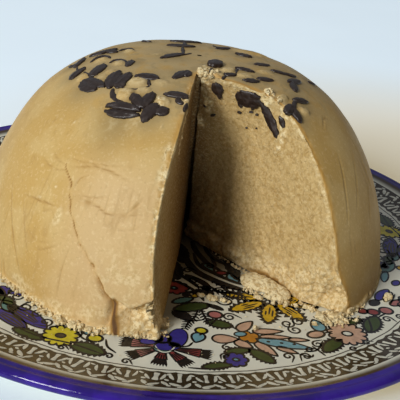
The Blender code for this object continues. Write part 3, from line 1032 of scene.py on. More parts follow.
def garland(paint):
    """A third of the flower ring."""
    for colour, x, y, long, wide, turn, bend in LEAVES:
        if colour == "green":
            ragged = leaf(long + 1.8, wide + 1.7, bend, 11, 0.16)
            paint.fill("line", placed(ragged, x, y, turn), 1)
            paint.fill(colour, placed(leaf(0.94 * long, 0.84 * wide, bend), x, y, turn), 2)
        else:
            paint.motif(colour, placed(leaf(long, wide, bend), x, y, turn), 0.7)
    for colour, x, y, long, wide, turn, bend in DROPS:
        paint.motif(colour, placed(drop(long, wide, bend), x, y, turn), 0.8, 1)
    for colour, x, y, long, wide, turn in OVALS:
        paint.motif(colour, placed(oval(long, wide), x, y, turn), 0.9, 2)
    for colour, x, y, radius, petals, eye in FLOWERS:
        paint.motif(colour, placed(daisy(radius, petals), x, y, 8), 0.8, 2)
        paint.motif(eye, placed(oval(radius * 0.52, radius * 0.40), x, y), 0.7, 4)
    for x, y, radius, start, turns in CURLS:
        paint.curl(x, y, radius, start, turns, 0.75)
    for stem in STEMS:
        paint.line(smooth_path(stem, 6), 0.8, taper=0.6)
    iris(paint, -47, -81, -38)
    carnation(paint, 2, -89.5)
    pansy(paint, 2.5, -85.5)
    lily(paint, 29.5, -78.5)
    for x, y in ((-50.5, -64.5), (-55.5, -65)):
        paint.motif("violet", placed(daisy(3.2, 4, 0.3), x, y, 20), 0.7)


def middle(paint):
    """What lies inside the ring, in the opening of the wedge."""
    for colour, x, y, long, wide, turn, bend in MIDDLE_LEAVES:
        paint.motif(colour, placed(leaf(long, wide, bend, 9, 0.08), x, y, turn), 0.9)
    for width, sweep in SWEEPS:
        paint.line(smooth_path(sweep, 8), width, taper=0.7)
    for barb, path in FERNS:
        fern(paint, path, barb, 0.9)
    paint.motif("red", placed(daisy(4.8, 9, 0.2), 3.5, -50.5), 0.8, 2)
    paint.motif("sky", placed(oval(2, 1.8), 3, -51), 1.0, 4)
    paint.motif("amber", placed(oval(2.6, 2.4), 10.5, -55), 0.7, 2)
    for x, y, radius, start, turns in ((21.5, -56.5, 3, 200, 1.4), (10, -44, 2, 60, 1.3),
                                       (14.5, -48.5, 1.5, 250, -1.3), (19.5, -49.5, 2, 90, 1.3),
                                       (7.5, -36.5, 2, 40, 1.3), (15.5, -31.5, 2, 140, -1.3)):
        paint.curl(x, y, radius, start, turns, 0.9)
    lotus(paint, 38.0, -55.0)


# The scroll border: a dark ring, and one repeat of the cream gaps in it.  A gap has its shape,
# its place along the ring and outwards, its length, width, turn and bend.
SCROLL_INNER = 102.8
SCROLL_DEPTH = 12.2
SCROLL_REPEATS = 43
SCROLL_SEED = 7
SCROLL_GAPS = (
    ("waist", -4.1, 4.6, 5.8, 2, 88, 0), ("waist", 4.2, 4.3, 5.4, 2.1, 93, 0),
    ("leaf", -6.6, 3.9, 4.6, 1.1, 74, 0.22), ("leaf", -1.9, 4, 4.8, 1.1, 104, -0.22),
    ("leaf", 1.7, 4.6, 4.2, 1, 70, 0.25), ("leaf", 6.6, 4.2, 4.4, 1.2, 112, -0.2),
    ("leaf", -0.2, 2.4, 1.8, 0.9, 20, 0.2), ("leaf", 8, 2.6, 1.7, 0.9, -30, 0.2),
    ("leaf", 0.1, 6.5, 1.5, 1, 0, 0), ("leaf", -8, 6.3, 1.6, 1, 30, 0),
    ("leaf", -5.6, 9.1, 4.4, 1.5, 34, 0.18), ("leaf", -2.3, 9.5, 3.8, 1.4, -52, 0.15),
    ("leaf", 1.1, 9.3, 3.6, 1.3, 66, -0.15), ("leaf", 4, 9.6, 4.2, 1.3, -24, 0.2),
    ("leaf", 7.2, 9, 3.4, 1.4, 48, 0.15), ("leaf", -7.6, 10.6, 1.6, 0.8, 0, 0),
    ("leaf", 2.6, 11.2, 2.4, 0.8, 6, 0), ("leaf", -3.9, 11.2, 2.2, 0.8, -8, 0),
)


def waist(long, wide):
    """A bar that narrows in the middle: the width swells with the square of the way out."""
    t = circle(20)
    x = long / 2 * np.cos(t)
    side = np.sin(t)
    y = wide / 2 * np.sign(side) * np.abs(side) ** 0.5 * (0.55 + 0.75 * np.cos(t) ** 2)
    return stacked(x, y)


def ring_band(paint, colour, inner, outer, ripple, layer):
    """A painted ring in segments; its inner edge is scalloped by a sine."""
    for part in range(24):
        angle = np.linspace(part, part + 1, 31) * TAU / 24
        near = inner + ripple * np.abs(np.sin(angle * SCROLL_REPEATS * 1.5))
        share = np.linspace(0.0, 1.0, 9)[:, None]
        reach = near + (outer - near) * share
        plan = polar(reach, angle).reshape(-1, 2)
        points = np.concatenate((paint.lay(plan, layer), paint.lay(plan, SUNK)))
        top = grid_faces(len(share), len(angle), False)[:, ::-1]
        edge = np.arange(len(plan)).reshape(len(share), len(angle))
        edge = np.concatenate((edge[0, :-1], edge[:-1, -1], edge[-1, :0:-1], edge[:0:-1, 0]))
        after = np.roll(edge, -1)
        sides = stacked(edge, after, after + len(plan), edge + len(plan))
        paint.keep(colour, points, np.concatenate((top, top[:, ::-1] + len(plan), sides)), [])


def scroll_border(paint):
    """A dark ring with curled cream gaps, each repeat drawn a little differently."""
    rng = np.random.default_rng(SCROLL_SEED)
    ring_band(paint, "scroll", SCROLL_INNER + 0.3, SCROLL_INNER + SCROLL_DEPTH, 0.7, 1)
    ring = circle(360)
    reach = SCROLL_INNER - 0.7 + 0.15 * np.sin(ring * SCROLL_REPEATS)
    paint.line(polar(reach, ring), 0.45, "scroll", 2, closed=True)
    for repeat in range(SCROLL_REPEATS):
        for kind, along, out, long, wide, turn, bend in SCROLL_GAPS:
            long = long * rng.uniform(0.85, 1.12)
            wide = wide * rng.uniform(0.8, 1.2)
            shape = waist(long, wide) if kind == "waist" else leaf(long, wide, bend)[::2]
            shape = placed(shape, along + rng.normal(0, 0.2), out + rng.normal(0, 0.15),
                           turn + rng.normal(0, 7))
            angle = TAU * repeat / SCROLL_REPEATS + shape[:, 0] / (SCROLL_INNER + 6)
            paint.fill("glaze", polar(SCROLL_INNER + shape[:, 1], angle), 3)


# ---- The halva ----

# Height from which the skin counts as the crown.
CROWN_FROM = 50.0
# Grid spacing up the outline, in millimetres, and round it, in degrees.
ROW_STEPS = ((12.0, 0.6), (60.0, 0.68), (DOME_HEIGHT, 0.9))
COLUMN_STEPS = ((20, 0.55), (205, 2), (275, 0.37))
LEFT_FACE_STEPS = 48
SLIT_STEPS = 8
RIGHT_FACE_STEPS = 132

# The long crack, as (azimuth in degrees, height), and the lesser creases: each one's depth,
# half width and path.
CRACK = ((-128, 46), (-124, 42), (-121, 34), (-116, 26), (-111, 20), (-107, 13), (-104, 9),
         (-102.5, 0))
CREASES = (
    (0.3, 0.55, ((-126, 46), (-116, 48.5), (-106, 47))),
    (0.22, 0.5, ((-129, 48), (-118, 49), (-107, 51))),
    (0.22, 0.5, ((-122, 40), (-121, 44), (-118, 46))),
    (0.22, 0.5, ((-121, 39), (-115, 40), (-111, 41.5))),
    (0.3, 0.5, ((-121, 38), (-114, 38), (-109, 36.5), (-98, 39))),
    (0.22, 0.45, ((-105, 37.5), (-103, 40), (-101, 43))),
    (0.3, 0.55, ((-139, 32), (-131, 33), (-123, 34))),
    (0.24, 0.5, ((-126, 45), (-132, 43.5), (-138, 45))),
    (0.2, 0.5, ((-128, 46), (-132, 46.5), (-135, 48))),
    (0.26, 0.55, ((-147, 34), (-142, 25), (-136, 14), (-132, 5))),
    (0.22, 0.5, ((-139, 32), (-134, 22), (-129, 12))),
    (0.2, 0.5, ((-118, 24), (-119, 15), (-119, 5))),
    (0.18, 0.45, ((-108, 33), (-104, 33), (-100, 35))),
    (0.2, 0.5, ((-121, 23), (-126, 19), (-130, 18))),
    (0.18, 0.5, ((-136, 27), (-130, 21), (-124, 22))),
    (0.7, 0.55, ((-140, 7), (-139.5, 4), (-139, 1))),
    (0.22, 0.55, ((-13, 56), (-14, 44), (-16, 30))),
    (0.22, 0.6, ((-20, 51), (-26, 43), (-31, 34))),
    (0.2, 0.55, ((-31, 52), (-35, 42), (-38, 31))),
    (0.2, 0.5, ((-14, 42), (-21, 34), (-25, 24))),
    (0.18, 0.5, ((-8, 52), (-9, 38), (-11, 22))), (0.25, 0.5, ((-31, 60), (-25, 62), (-21, 61))),
)
# Pale swellings and specks of the skin: azimuth, height, length across and up, and paleness.
PALE_SPOTS = ((-124, 31, 3, 7, 0.55), (-132, 34, 1.6, 1, 1), (-112, 62, 7, 5, 0.25),
              (-119, 60, 5, 4, 0.2), (-134, 57, 1.4, 1, 0.9), (-101, 62, 1.2, 1, 0.8),
              (-128, 39, 1, 0.8, 0.8), (-109, 5, 9, 5, 0.5), (-118, 3, 12, 4, 0.5),
              (-132, 3, 12, 5, 0.5))
# How far the foot stands in or out of the circle, by azimuth in degrees.
FOOT_AZIMUTH = (-180, -145, -133, -120, -108, -99, -60, -25, 0, 60, 180)
FOOT_FACTOR = (1.0, 1.0, 0.98, 1.01, 1.035, 1.0, 1.0, 1.01, 1.0, 1.005, 1.0)
# Upper edge of the broken-off toe beside the cut, by azimuth in degrees.
TOE_AZIMUTH = (-104, -100, -95, -92, -88)
TOE_TOP = (12, 9, 12, 14.5, 14.5)
# The right cut face, as (x, height): the top of the ledge at its foot, and the top of the
# coarse pale paste above that.
LEDGE = ((0, 7.6), (13, 7), (45, 3), (60, 4))
PALE_FOOT = ((8, 4), (18, 9), (30, 12), (43, 19), (52, 25))
# The split down the right cut face, as (x, height).
SPLIT = ((53, 21), (53, 17), (54.5, 15), (55, 11), (56.5, 9))
# Paste pressed up between the flakes: place, length, width, turn and height.
CROWN_BUMPS = (
    (-19.9, -30.2, 7.6, 4.8, -7, 1.25), (-23.4, -36.4, 6.8, 6.4, 0, 1.5),
    (10.8, -15.6, 5.6, 4.4, 15, 1.1), (16.9, -18, 7, 3.2, 20, 0.9),
    (7.2, -21.6, 3.8, 3.4, 21, 0.9), (-35.4, -6.6, 5.6, 4.2, 20, 0.8),
    (-28.2, -13.4, 5, 4.6, -24, 0.8), (-30.6, -20.6, 4.6, 3.6, 10, 0.6),
    (-17.4, -34.8, 5.4, 3, -8, 0.7), (-26.4, 2, 4.4, 4, 20, 0.8),
    (30.4, -26, 5.2, 3.4, 60, 0.9), (-14.4, -2.2, 6, 3, 40, 0.4),
    (-10.2, -41, 5.6, 3.4, -23, 0.8), (-40.6, -18.6, 4.4, 5.4, 10, 0.6),
    (38.6, -27, 4.4, 3.6, 40, 0.8), (24.6, -9.6, 6.4, 3.4, 20, 0.7),
    (-33, -22.8, 4, 3.4, 0, 0.5), (-12, -30.6, 6, 3.6, -14, 0.5),
)
# One flatter swelling at the back of the crown, in the same six measures.
SLAB = (19.6, 16.6, 17, 6.4, 4, 0.8)
# Crumbly spots of the crown, as x, y and reach, and chips out of the left edge of the cut, as
# height and reach.
CROWN_GRIT = ((-12.6, -41.4, 4.6), (24.6, -28.4, 3.2), (31.6, -30.8, 2.8), (2.6, -21.4, 2.6),
              (4.8, -18.6, 2.4), (3, -14.2, 2), (-3.4, -41, 2.4))
EDGE_CHIPS = ((56, 4.2), (50, 4.4), (45, 2.6), (39, 3.2), (34, 1.8), (29.5, 2.6),
              (24, 2), (17, 2.6), (68.6, 2.6))


def left_face_x(y, z):
    """Across the left face: it leans a little and is hollow at half its height."""
    bow = np.sin(np.pi * np.clip(z / HOLLOW_HEIGHT, 0.0, 1.0))
    return LEFT_FACE_X - np.maximum(-y, 0.0) * (LEFT_FACE_LEAN + LEFT_FACE_HOLLOW * bow)


def corner_y(z):
    """Where the two faces meet: behind the centre at the foot, in front of it at the top."""
    return CORNER_FOOT_Y + (CORNER_TOP_Y - CORNER_FOOT_Y) * z / CORNER_TOP_HEIGHT


def right_face_y(x, z):
    """Along the right face: 45 degrees from the corner, flatter near the corner's top, the
    lower of the two planes with their meeting rounded; broken back at the outer foot."""
    straight = RIGHT_FACE_OFFSET - x
    near_corner = corner_y(z) - TOP_FACE_SLOPE * (x - LEFT_FACE_X)
    low = np.minimum(straight, near_corner)
    blend = np.exp((low - straight) / FACE_BLEND) + np.exp((low - near_corner) / FACE_BLEND)
    broken = ease(x, 44.0, 62.0) * fall(z, 4.0, 22.0)
    return low - FACE_BLEND * np.log(blend) + BROKEN_FOOT_DEPTH * broken


def dome_radius(z):
    """The dome's radius at a height."""
    part = np.clip(z / DOME_HEIGHT, 0.0, 1.0)
    return DOME_RADIUS * (1 - part ** CROWN_POWER) ** (1 / SIDE_POWER)


def dome_point(azimuth, z):
    """The place on the dome's outside at azimuths in degrees and heights."""
    azimuth, z = np.radians(np.asarray(azimuth, float)), np.asarray(z, float)
    radius = dome_radius(z)
    return stacked(radius * np.cos(azimuth), radius * np.sin(azimuth), z)


def dome_ground(points):
    """The nearest places of the dome's outside and the directions out of it: Newton steps
    along the slope of the superellipse's equation."""
    place = np.array(points, float)
    for _ in range(5):
        radius = np.maximum(np.hypot(place[..., 0], place[..., 1]), 1e-6)
        z = np.maximum(place[..., 2], 1e-6)
        side = (radius / DOME_RADIUS) ** SIDE_POWER
        crown = (z / DOME_HEIGHT) ** CROWN_POWER
        slope = stacked(SIDE_POWER * side / radius ** 2 * place[..., 0],
                        SIDE_POWER * side / radius ** 2 * place[..., 1],
                        CROWN_POWER * crown / z)
        steep = np.linalg.norm(slope, axis=-1, keepdims=True)
        place = place - slope / steep ** 2 * (side + crown - 1)[..., None]
    return place, slope / steep


def over_crown(plan):
    """Plan points lifted to near the crown, as a start for dome_ground."""
    return np.column_stack((plan, np.full(len(plan), 0.9 * DOME_HEIGHT)))


def face_ground(points):
    """The places of the right face beside points, and the directions out of it there."""
    x, z = points[..., 0], points[..., 2]
    step = 0.5
    y = right_face_y(x, z)
    slope = stacked(right_face_y(x + step, z) - y, np.full(x.shape, -step),
                    right_face_y(x, z + step) - y)
    return stacked(x, y, z), unit(slope)


def evenly(low, high, steps):
    """Numbers from low to high whose spacing is what steps says up to each limit."""
    fine = np.linspace(low, high, 4000)
    spacing = np.select([fine <= limit for limit, _ in steps], [step for _, step in steps],
                        steps[-1][1])
    count = np.concatenate(([0.0], np.cumsum((fine[1] - fine[0]) / spacing[1:])))
    return np.interp(np.linspace(0.0, count[-1], int(count[-1]) + 1), count, fine)


def outline_rows():
    """Radii and heights up the dome's outline, spaced along its length."""
    angle = np.linspace(np.pi / 2, 0.0, 6000)
    radius = DOME_RADIUS * np.sin(angle) ** (2 / SIDE_POWER)
    height = DOME_HEIGHT * np.cos(angle) ** (2 / CROWN_POWER)
    reach = np.concatenate(([0.0], np.cumsum(np.hypot(np.diff(radius), np.diff(height)))))
    limits = [(np.interp(z, height, reach), step) for z, step in ROW_STEPS]
    rows = evenly(0.0, reach[-1], limits)
    radius, height = np.interp(rows, reach, radius), np.interp(rows, reach, height)
    height[0], radius[-1] = 0.0, 0.0
    return radius[:, None], height[:, None]


def right_corner_x(radius, z, start):
    """Where the right face leaves the dome, by halving: x squared + y squared = r squared."""
    low, high = start, np.maximum(radius, start)
    for _ in range(40):
        middle = (low + high) / 2
        inside = middle ** 2 + right_face_y(middle, z) ** 2 < radius ** 2
        low, high = np.where(inside, middle, low), np.where(inside, high, middle)
    return low


def halva_grid():
    """The body as rows of closed outlines: round the outside from the right edge of the cut
    to its left edge, in along the left face, round the slit and out along the right face.
    Above the cut those last stretches shrink to one point.

    Returns the points; at each, whether it is on a face and whether on the right one; and the
    two edges of the cut as paths.
    """
    radius, z = outline_rows()
    corner = corner_y(z)
    part = np.clip(z / SLIT_HEIGHT, 0.0, 1.0)
    slit_right = LEFT_FACE_X + SLIT_WIDTH_FOOT + (SLIT_WIDTH_TOP - SLIT_WIDTH_FOOT) * part
    slit_end = corner + np.maximum(SLIT_LENGTH * (1 - part), 0.6)
    inner = right_face_y(slit_right, z)
    is_cut = np.hypot(slit_right, inner) < radius - 0.2

    lean = (left_face_x(-1.0, z) - LEFT_FACE_X) / -1.0
    root = (LEFT_FACE_X * lean) ** 2 - (1 + lean ** 2) * (LEFT_FACE_X ** 2 - radius ** 2)
    left_y = (-LEFT_FACE_X * lean - np.sqrt(np.maximum(root, 0))) / (1 + lean ** 2)
    right_x = right_corner_x(radius, z, slit_right)
    right_y = right_face_y(right_x, z)
    from_angle = np.where(is_cut, np.arctan2(right_y, right_x), NOTCH_END_AZIMUTH)
    to_angle = TAU + np.where(is_cut, np.arctan2(left_y, LEFT_FACE_X + lean * left_y),
                              NOTCH_END_AZIMUTH)

    degrees = evenly(-45.0, 266.0, COLUMN_STEPS)
    angle = from_angle + (to_angle - from_angle) * (degrees - degrees[0]) / np.ptp(degrees)
    outer = stacked(radius * np.cos(angle), radius * np.sin(angle), z)

    part = np.arange(1, LEFT_FACE_STEPS + 1) / LEFT_FACE_STEPS
    y = left_y + (corner - left_y) * part
    left = stacked(left_face_x(y, z), y, z)
    part = np.arange(1, SLIT_STEPS + 1) / SLIT_STEPS
    y = corner + (slit_end - corner) * part
    slit_in = stacked(LEFT_FACE_X, y, z)
    part = np.arange(SLIT_STEPS + 1) / SLIT_STEPS
    y = slit_end + (inner - slit_end) * part
    slit_out = stacked(slit_right, y, z)
    x = slit_right + (right_x - slit_right) * np.arange(1, RIGHT_FACE_STEPS) / RIGHT_FACE_STEPS
    right = stacked(x, right_face_y(x, z), z)

    notch = np.concatenate((left, slit_in, slit_out, right), axis=1)
    notch = np.where(is_cut[:, :, None], notch, outer[:, :1])
    points = np.concatenate((outer, notch), axis=1)
    on_face = np.zeros(points.shape[:2])
    on_face[:, outer.shape[1]:] = 1.0
    on_face[:, [0, outer.shape[1] - 1]] = 0.5
    on_face = on_face * is_cut
    on_right = np.zeros(points.shape[:2])
    on_right[:, -RIGHT_FACE_STEPS:] = 1.0
    edges = [outer[is_cut[:, 0], side][::2] for side in (0, -1)]
    return points, on_face, on_right * is_cut, edges


def skin_lumps(points, settings):
    """Broad lumps of the skin along its normal, with half-size ones on them."""
    return settings.lump / MM * (noise(points, 27.0, 11) + 0.35 * noise(points, 9.0, 12))


def raised(points, bump):
    """A flat-topped oval mound on the crown, 0 to 1."""
    x, y, long, wide, turn = bump[:5]
    local = turned(points[:, :2] - (x, y), -turn) / (long / 2, wide / 2)
    reach = np.linalg.norm(local, axis=1) + 0.10 * noise(points, 2.2, 31)
    return fall(reach, 0.55, 1.08) * (points[:, 2] > CROWN_FROM)


def crack_relief(points, settings):
    """The long crack: a ragged groove that widens towards the foot, its left bank bent in
    and its right bank a little proud.  Returns the height and a mask of its inside."""
    path = dome_point(*np.array(CRACK).T)
    ragged = points + 0.55 * np.stack([noise(points, 2.6, 21 + axis) for axis in range(3)], 1)
    gap, along = path_offset(ragged, path)
    azimuth = np.degrees(np.arctan2(ragged[:, 1], ragged[:, 0]))
    middle = np.interp(ragged[:, 2], [z for _, z in reversed(CRACK)],
                       [azimuth for azimuth, _ in reversed(CRACK)])
    left = azimuth < middle
    half = 0.38 + 0.55 * ease(along, 0.3, 1.0) + 0.9 * ease(along, 0.78, 0.95)
    groove = settings.crack / MM * (0.22 + 0.78 * ease(along, 0.2, 0.9)) * hill(gap, half)
    banks = np.where(left, -0.9 * ease(along, 0.2, 0.8) * hill(gap, 3.2),
                     (0.25 + 0.55 * ease(along, 0.3, 0.8)) * hill(gap, 2.6))
    return banks - groove, hill(gap, 0.8 * half)


def wrinkle_relief(points, azimuth):
    """Fine wrinkles down the sides, where a noise drawn out along the height crosses zero."""
    z = points[:, 2]
    drawn = np.column_stack((np.radians(azimuth) * DOME_RADIUS, z / 7, 0 * z))
    line = hill(noise(drawn, 3.0, 26), 0.09)
    patchy = ease(noise(points, 19.0, 27), -0.25, 0.35)
    return line * patchy * ease(z, 8.0, 22.0) * fall(z, 54.0, 63.0)


def pale_spots(points, azimuth):
    """Pale swellings and specks of the skin, 0 to 1."""
    pale = np.zeros(len(points))
    for centre, z, across, up, strength in PALE_SPOTS:
        away = np.hypot(np.radians(azimuth - centre) * DOME_RADIUS / across,
                        (points[:, 2] - z) / up)
        away = away + 0.2 * noise(points, 1.8, 28)
        pale = np.maximum(pale, strength * fall(away, 0.3, 0.7))
    return pale


def crease_relief(points):
    """The lesser creases: a narrow groove with a soft fold beside it."""
    height = np.zeros(len(points))
    mask = np.zeros(len(points))
    for deep, wide, stretch in CREASES:
        path = dome_point(*smooth_path(stretch, 5).T)
        low, high = path.min(axis=0) - 5.0, path.max(axis=0) + 5.0
        near = np.nonzero(((points > low) & (points < high)).all(axis=1))[0]
        gap, along = path_offset(points[near], path)
        gap = gap + 0.2 * noise(points[near], 2.4, 24)
        fade = np.sin(np.pi * np.clip(along, 0.04, 0.96)) ** 0.5
        height[near] += deep * fade * (0.5 * hill(gap - 1.5 * wide, wide) - hill(gap, wide))
        mask[near] = np.maximum(mask[near], fade * hill(gap, 0.8 * wide) * min(1, 3.0 * deep))
    return height, mask


def toe_relief(points, azimuth):
    """The toe beside the cut, broken off: hollow at its top, spread out and rough at its
    foot.  Returns the height and a mask of the break."""
    top = np.interp(azimuth, TOE_AZIMUTH, TOE_TOP) + 0.8 * noise(points, 3.0, 41)
    z = points[:, 2]
    near = (ease(azimuth, -104.8, -103.6) * (azimuth < -60) * fall(z, top - 0.9, top + 0.5)
            * ease(np.hypot(points[:, 0], points[:, 1]), 66.0, 71.0))
    hollow = -2.9 * ease(z / top, 0.15, 0.9) + 0.7 * fall(z / top, 0.0, 0.5)
    rough = 0.9 * noise(points, 3.6, 42) + 0.7 * noise(points, 1.7, 43)
    return near * (hollow + rough), near


def flake_stain(points):
    """Oily skin round the larger flakes on the crown, 0 to 1."""
    stain = np.zeros(len(points))
    for _, x, y, long, *_ in LEAF_FLAKES:
        gap = np.hypot(points[:, 0] - x, points[:, 1] - y)
        stain = np.maximum(stain, hill(gap, 0.5 * long + 1.2))
    return stain * (points[:, 2] > CROWN_FROM)


def halva_relief(points, normals, on_face, edge, on_right, settings):
    """Where each point moves to, and the masks that the material reads."""
    x, y, z = points.T
    azimuth = np.degrees(np.arctan2(y, x))
    skin = 1 - on_face
    radius = np.hypot(x, y)
    outside = ease(radius, 0.93 * dome_radius(z), 0.99 * dome_radius(z)) * skin

    height = skin_lumps(points, settings) * (1 - 0.5 * on_face)
    crack, in_crack = crack_relief(points, settings)
    creases, in_crease = crease_relief(points)
    toe, in_toe = toe_relief(points, azimuth)
    wrinkles = wrinkle_relief(points, azimuth) * skin
    spots = pale_spots(points, azimuth) * skin
    height += skin * (crack * (1 - in_toe) + creases) + toe - 0.13 * wrinkles + 0.35 * spots

    grain = settings.grain / MM
    foot = fall(z, 2.0, 24.0)
    rough = grain * (noise(points, 2.3, 51) + 0.55 * noise(points, 1.15, 52))
    height += on_face * on_right * (rough * (1 + 1.3 * foot) + 0.5 * foot * noise(points, 6.0, 53))
    height += on_face * (1 - on_right) * 0.3 * rough
    ledge_top = np.interp(x, *np.array(LEDGE).T) + 1.3 * noise(points, 5.0, 54)
    behind_piece = hill(x - 34.0, 7.0)
    ledge = on_right * fall(z, ledge_top - 1.2, ledge_top + 0.4)
    height += ledge * (1.0 + 0.7 * noise(points, 2.6, 55)) * (1 - 1.6 * behind_piece)
    # Painted shade behind the broken piece: the foot of the right face darkens where the piece
    # hides it.
    under = on_right * behind_piece * fall(z, 1.6, 3.4)
    shadow = hill(z - ledge_top - 0.6, 0.7) * ease(noise(points, 7.0, 56), -0.4, 0.3)
    height -= 0.5 * on_right * shadow
    pale_top = np.interp(x, *np.array(PALE_FOOT).T) * (1 + 0.25 * noise(points, 6.0, 59))
    broken = on_right * fall(z, 0.5 * pale_top, pale_top)
    coarse = 0.5 * noise(points, 4.2, 57) + 0.5 * noise(points, 2.0, 58)
    fine = 0.45 * noise(points, 1.3, 60)
    height += broken * (0.55 + 0.55 * ease(x, 38.0, 48.0)) * (coarse + fine)
    split_x, split_z = np.array(SPLIT).T
    gap, _ = path_offset(points, stacked(split_x, right_face_y(split_x, split_z), split_z))
    height -= 1.3 * on_right * hill(gap, 0.8)

    crumble_top = 2.3 + 1.3 * noise(points * (1, 1, 0.2), 5.0, 61)
    at_foot = outside * fall(z, 0.5 * crumble_top, crumble_top)
    height += at_foot * settings.crumble / MM * (0.55 + 0.8 * noise(points, 1.9, 62))

    chips = np.zeros(len(points))
    for place, reach in EDGE_CHIPS:
        near = hill(z - place, 2.4) * fall(edge, 0.4 * reach, reach)
        chips = np.maximum(chips, near)
    chips = chips * (x < 10.0) * ease(noise(points, 1.6, 63), -0.7, 0.1)
    height -= 0.4 * chips * skin * (1 + 1.3 * noise(points, 1.1, 64))
    at_right = x > 8.0
    rounding = settings.bevel / MM * np.where(at_right, 0.25, 0.35) * hill(edge, 0.9)
    height -= rounding
    height += np.where(at_right, 0.34, 0.2) * hill(edge, 1.6) * noise(points, 1.7, 65)

    bulge = np.zeros(len(points))
    for bump in CROWN_BUMPS:
        mound = raised(points, bump)
        height += skin * bump[-1] * mound
        bulge = np.maximum(bulge, min(1.0, bump[-1]) * mound)
    height += skin * SLAB[-1] * raised(points, SLAB)
    grit = np.zeros(len(points))
    for place_x, place_y, reach in CROWN_GRIT:
        near = fall(np.hypot(x - place_x, y - place_y), 0.4 * reach, reach)
        grit = np.maximum(grit, near * (z > CROWN_FROM) * ease(noise(points, 1.3, 66), -0.3, 0.3))
    height += grit * 0.5 * (0.6 + noise(points, 1.2, 67))

    moved = points + normals * (height * ease(z, 0.0, 0.4))[:, None]
    factor = np.interp(azimuth, FOOT_AZIMUTH, FOOT_FACTOR) - 1
    spread = 1 + factor * ease(radius, 60.0, 78.0) * np.exp(-z / 5.0)
    spread += at_foot * (z < 0.4) * 0.008
    moved[:, :2] *= spread[:, None]
    moved[:, 2] = np.where(z <= 0.0, 0.0, np.maximum(moved[:, 2], 0.02))

    pale_toe = in_toe * ease(azimuth, -101.5, -98.5)
    worn = (ease(azimuth, -113.0, -105.0) * fall(azimuth, -60.0, -55.0) * outside
            * fall(z, 18.0, 34.0) * ease(noise(points, 1.7, 68), -0.5, 0.4))
    face_rim = on_right * hill(edge, 1.9) * ease(noise(points, 2.0, 69), -0.7, 0.2)
    crumbled = np.maximum.reduce((pale_toe, at_foot, chips, grit, 0.55 * in_toe, 0.6 * ledge,
                                  0.7 * broken, 0.45 * worn, 0.8 * face_rim, spots,
                                  0.3 * bulge * skin))
    values = {
        "cut": on_face,
        # Painted shade of the crack, the creases, the wrinkles and the foot behind the broken
        # piece.
        "crease": np.clip(np.maximum.reduce((in_crack * skin, in_crease * 0.5 * skin,
                                             0.25 * wrinkles, 0.75 * under)), 0, 1),
        "crumbled": np.clip(crumbled * (1 - under), 0, 1),
        "oily": flake_stain(points) * skin * (1 - bulge),
        "rim": hill(edge - 0.6, 1.1) * np.where(at_right, 1.0, 0.7) * skin,
        "blush": (ease(azimuth, -130.0, -112.0) * fall(azimuth, -75.0, -60.0) * outside
                  * ease(z, -4.0, 6.0) * fall(z, 42.0, 58.0)),
        "on_top": ease(z, 58.0, 70.0) * skin,
        # Painted shade: the cut faces darken towards the corner of the wedge.
        "smeared": on_face * np.where(on_right > 0.5, 0.75 * fall(x, 0.0, 15.0),
                                      0.35 + 0.5 * ease(y, -66.0, -24.0)),
    }
    return moved, values


def make_halva(settings):
    """The cut dome: its grid, welded, given its relief and closed underneath."""
    points, on_face, on_right, edges = halva_grid()
    rows, columns = points.shape[:2]
    flat = points.reshape(-1, 3)
    kept, number, triangles = welded(flat, grid_faces(rows, columns, True))
    flat, on_face, on_right = (mask.reshape(-1, *mask.shape[2:])[kept]
                               for mask in (points, on_face, on_right))
    edge = np.minimum(*(path_offset(flat, side)[0] for side in edges))
    moved, values = halva_relief(flat, vertex_normals(flat, triangles), on_face, edge, on_right,
                                 settings)
    make_piece("halva_dome", moved + DOME_CENTRE, triangles, halva_finish(settings),
               replaces=("halva_body",), loops=[number[:columns][::-1]], values=values)


# ---- The chocolate ----

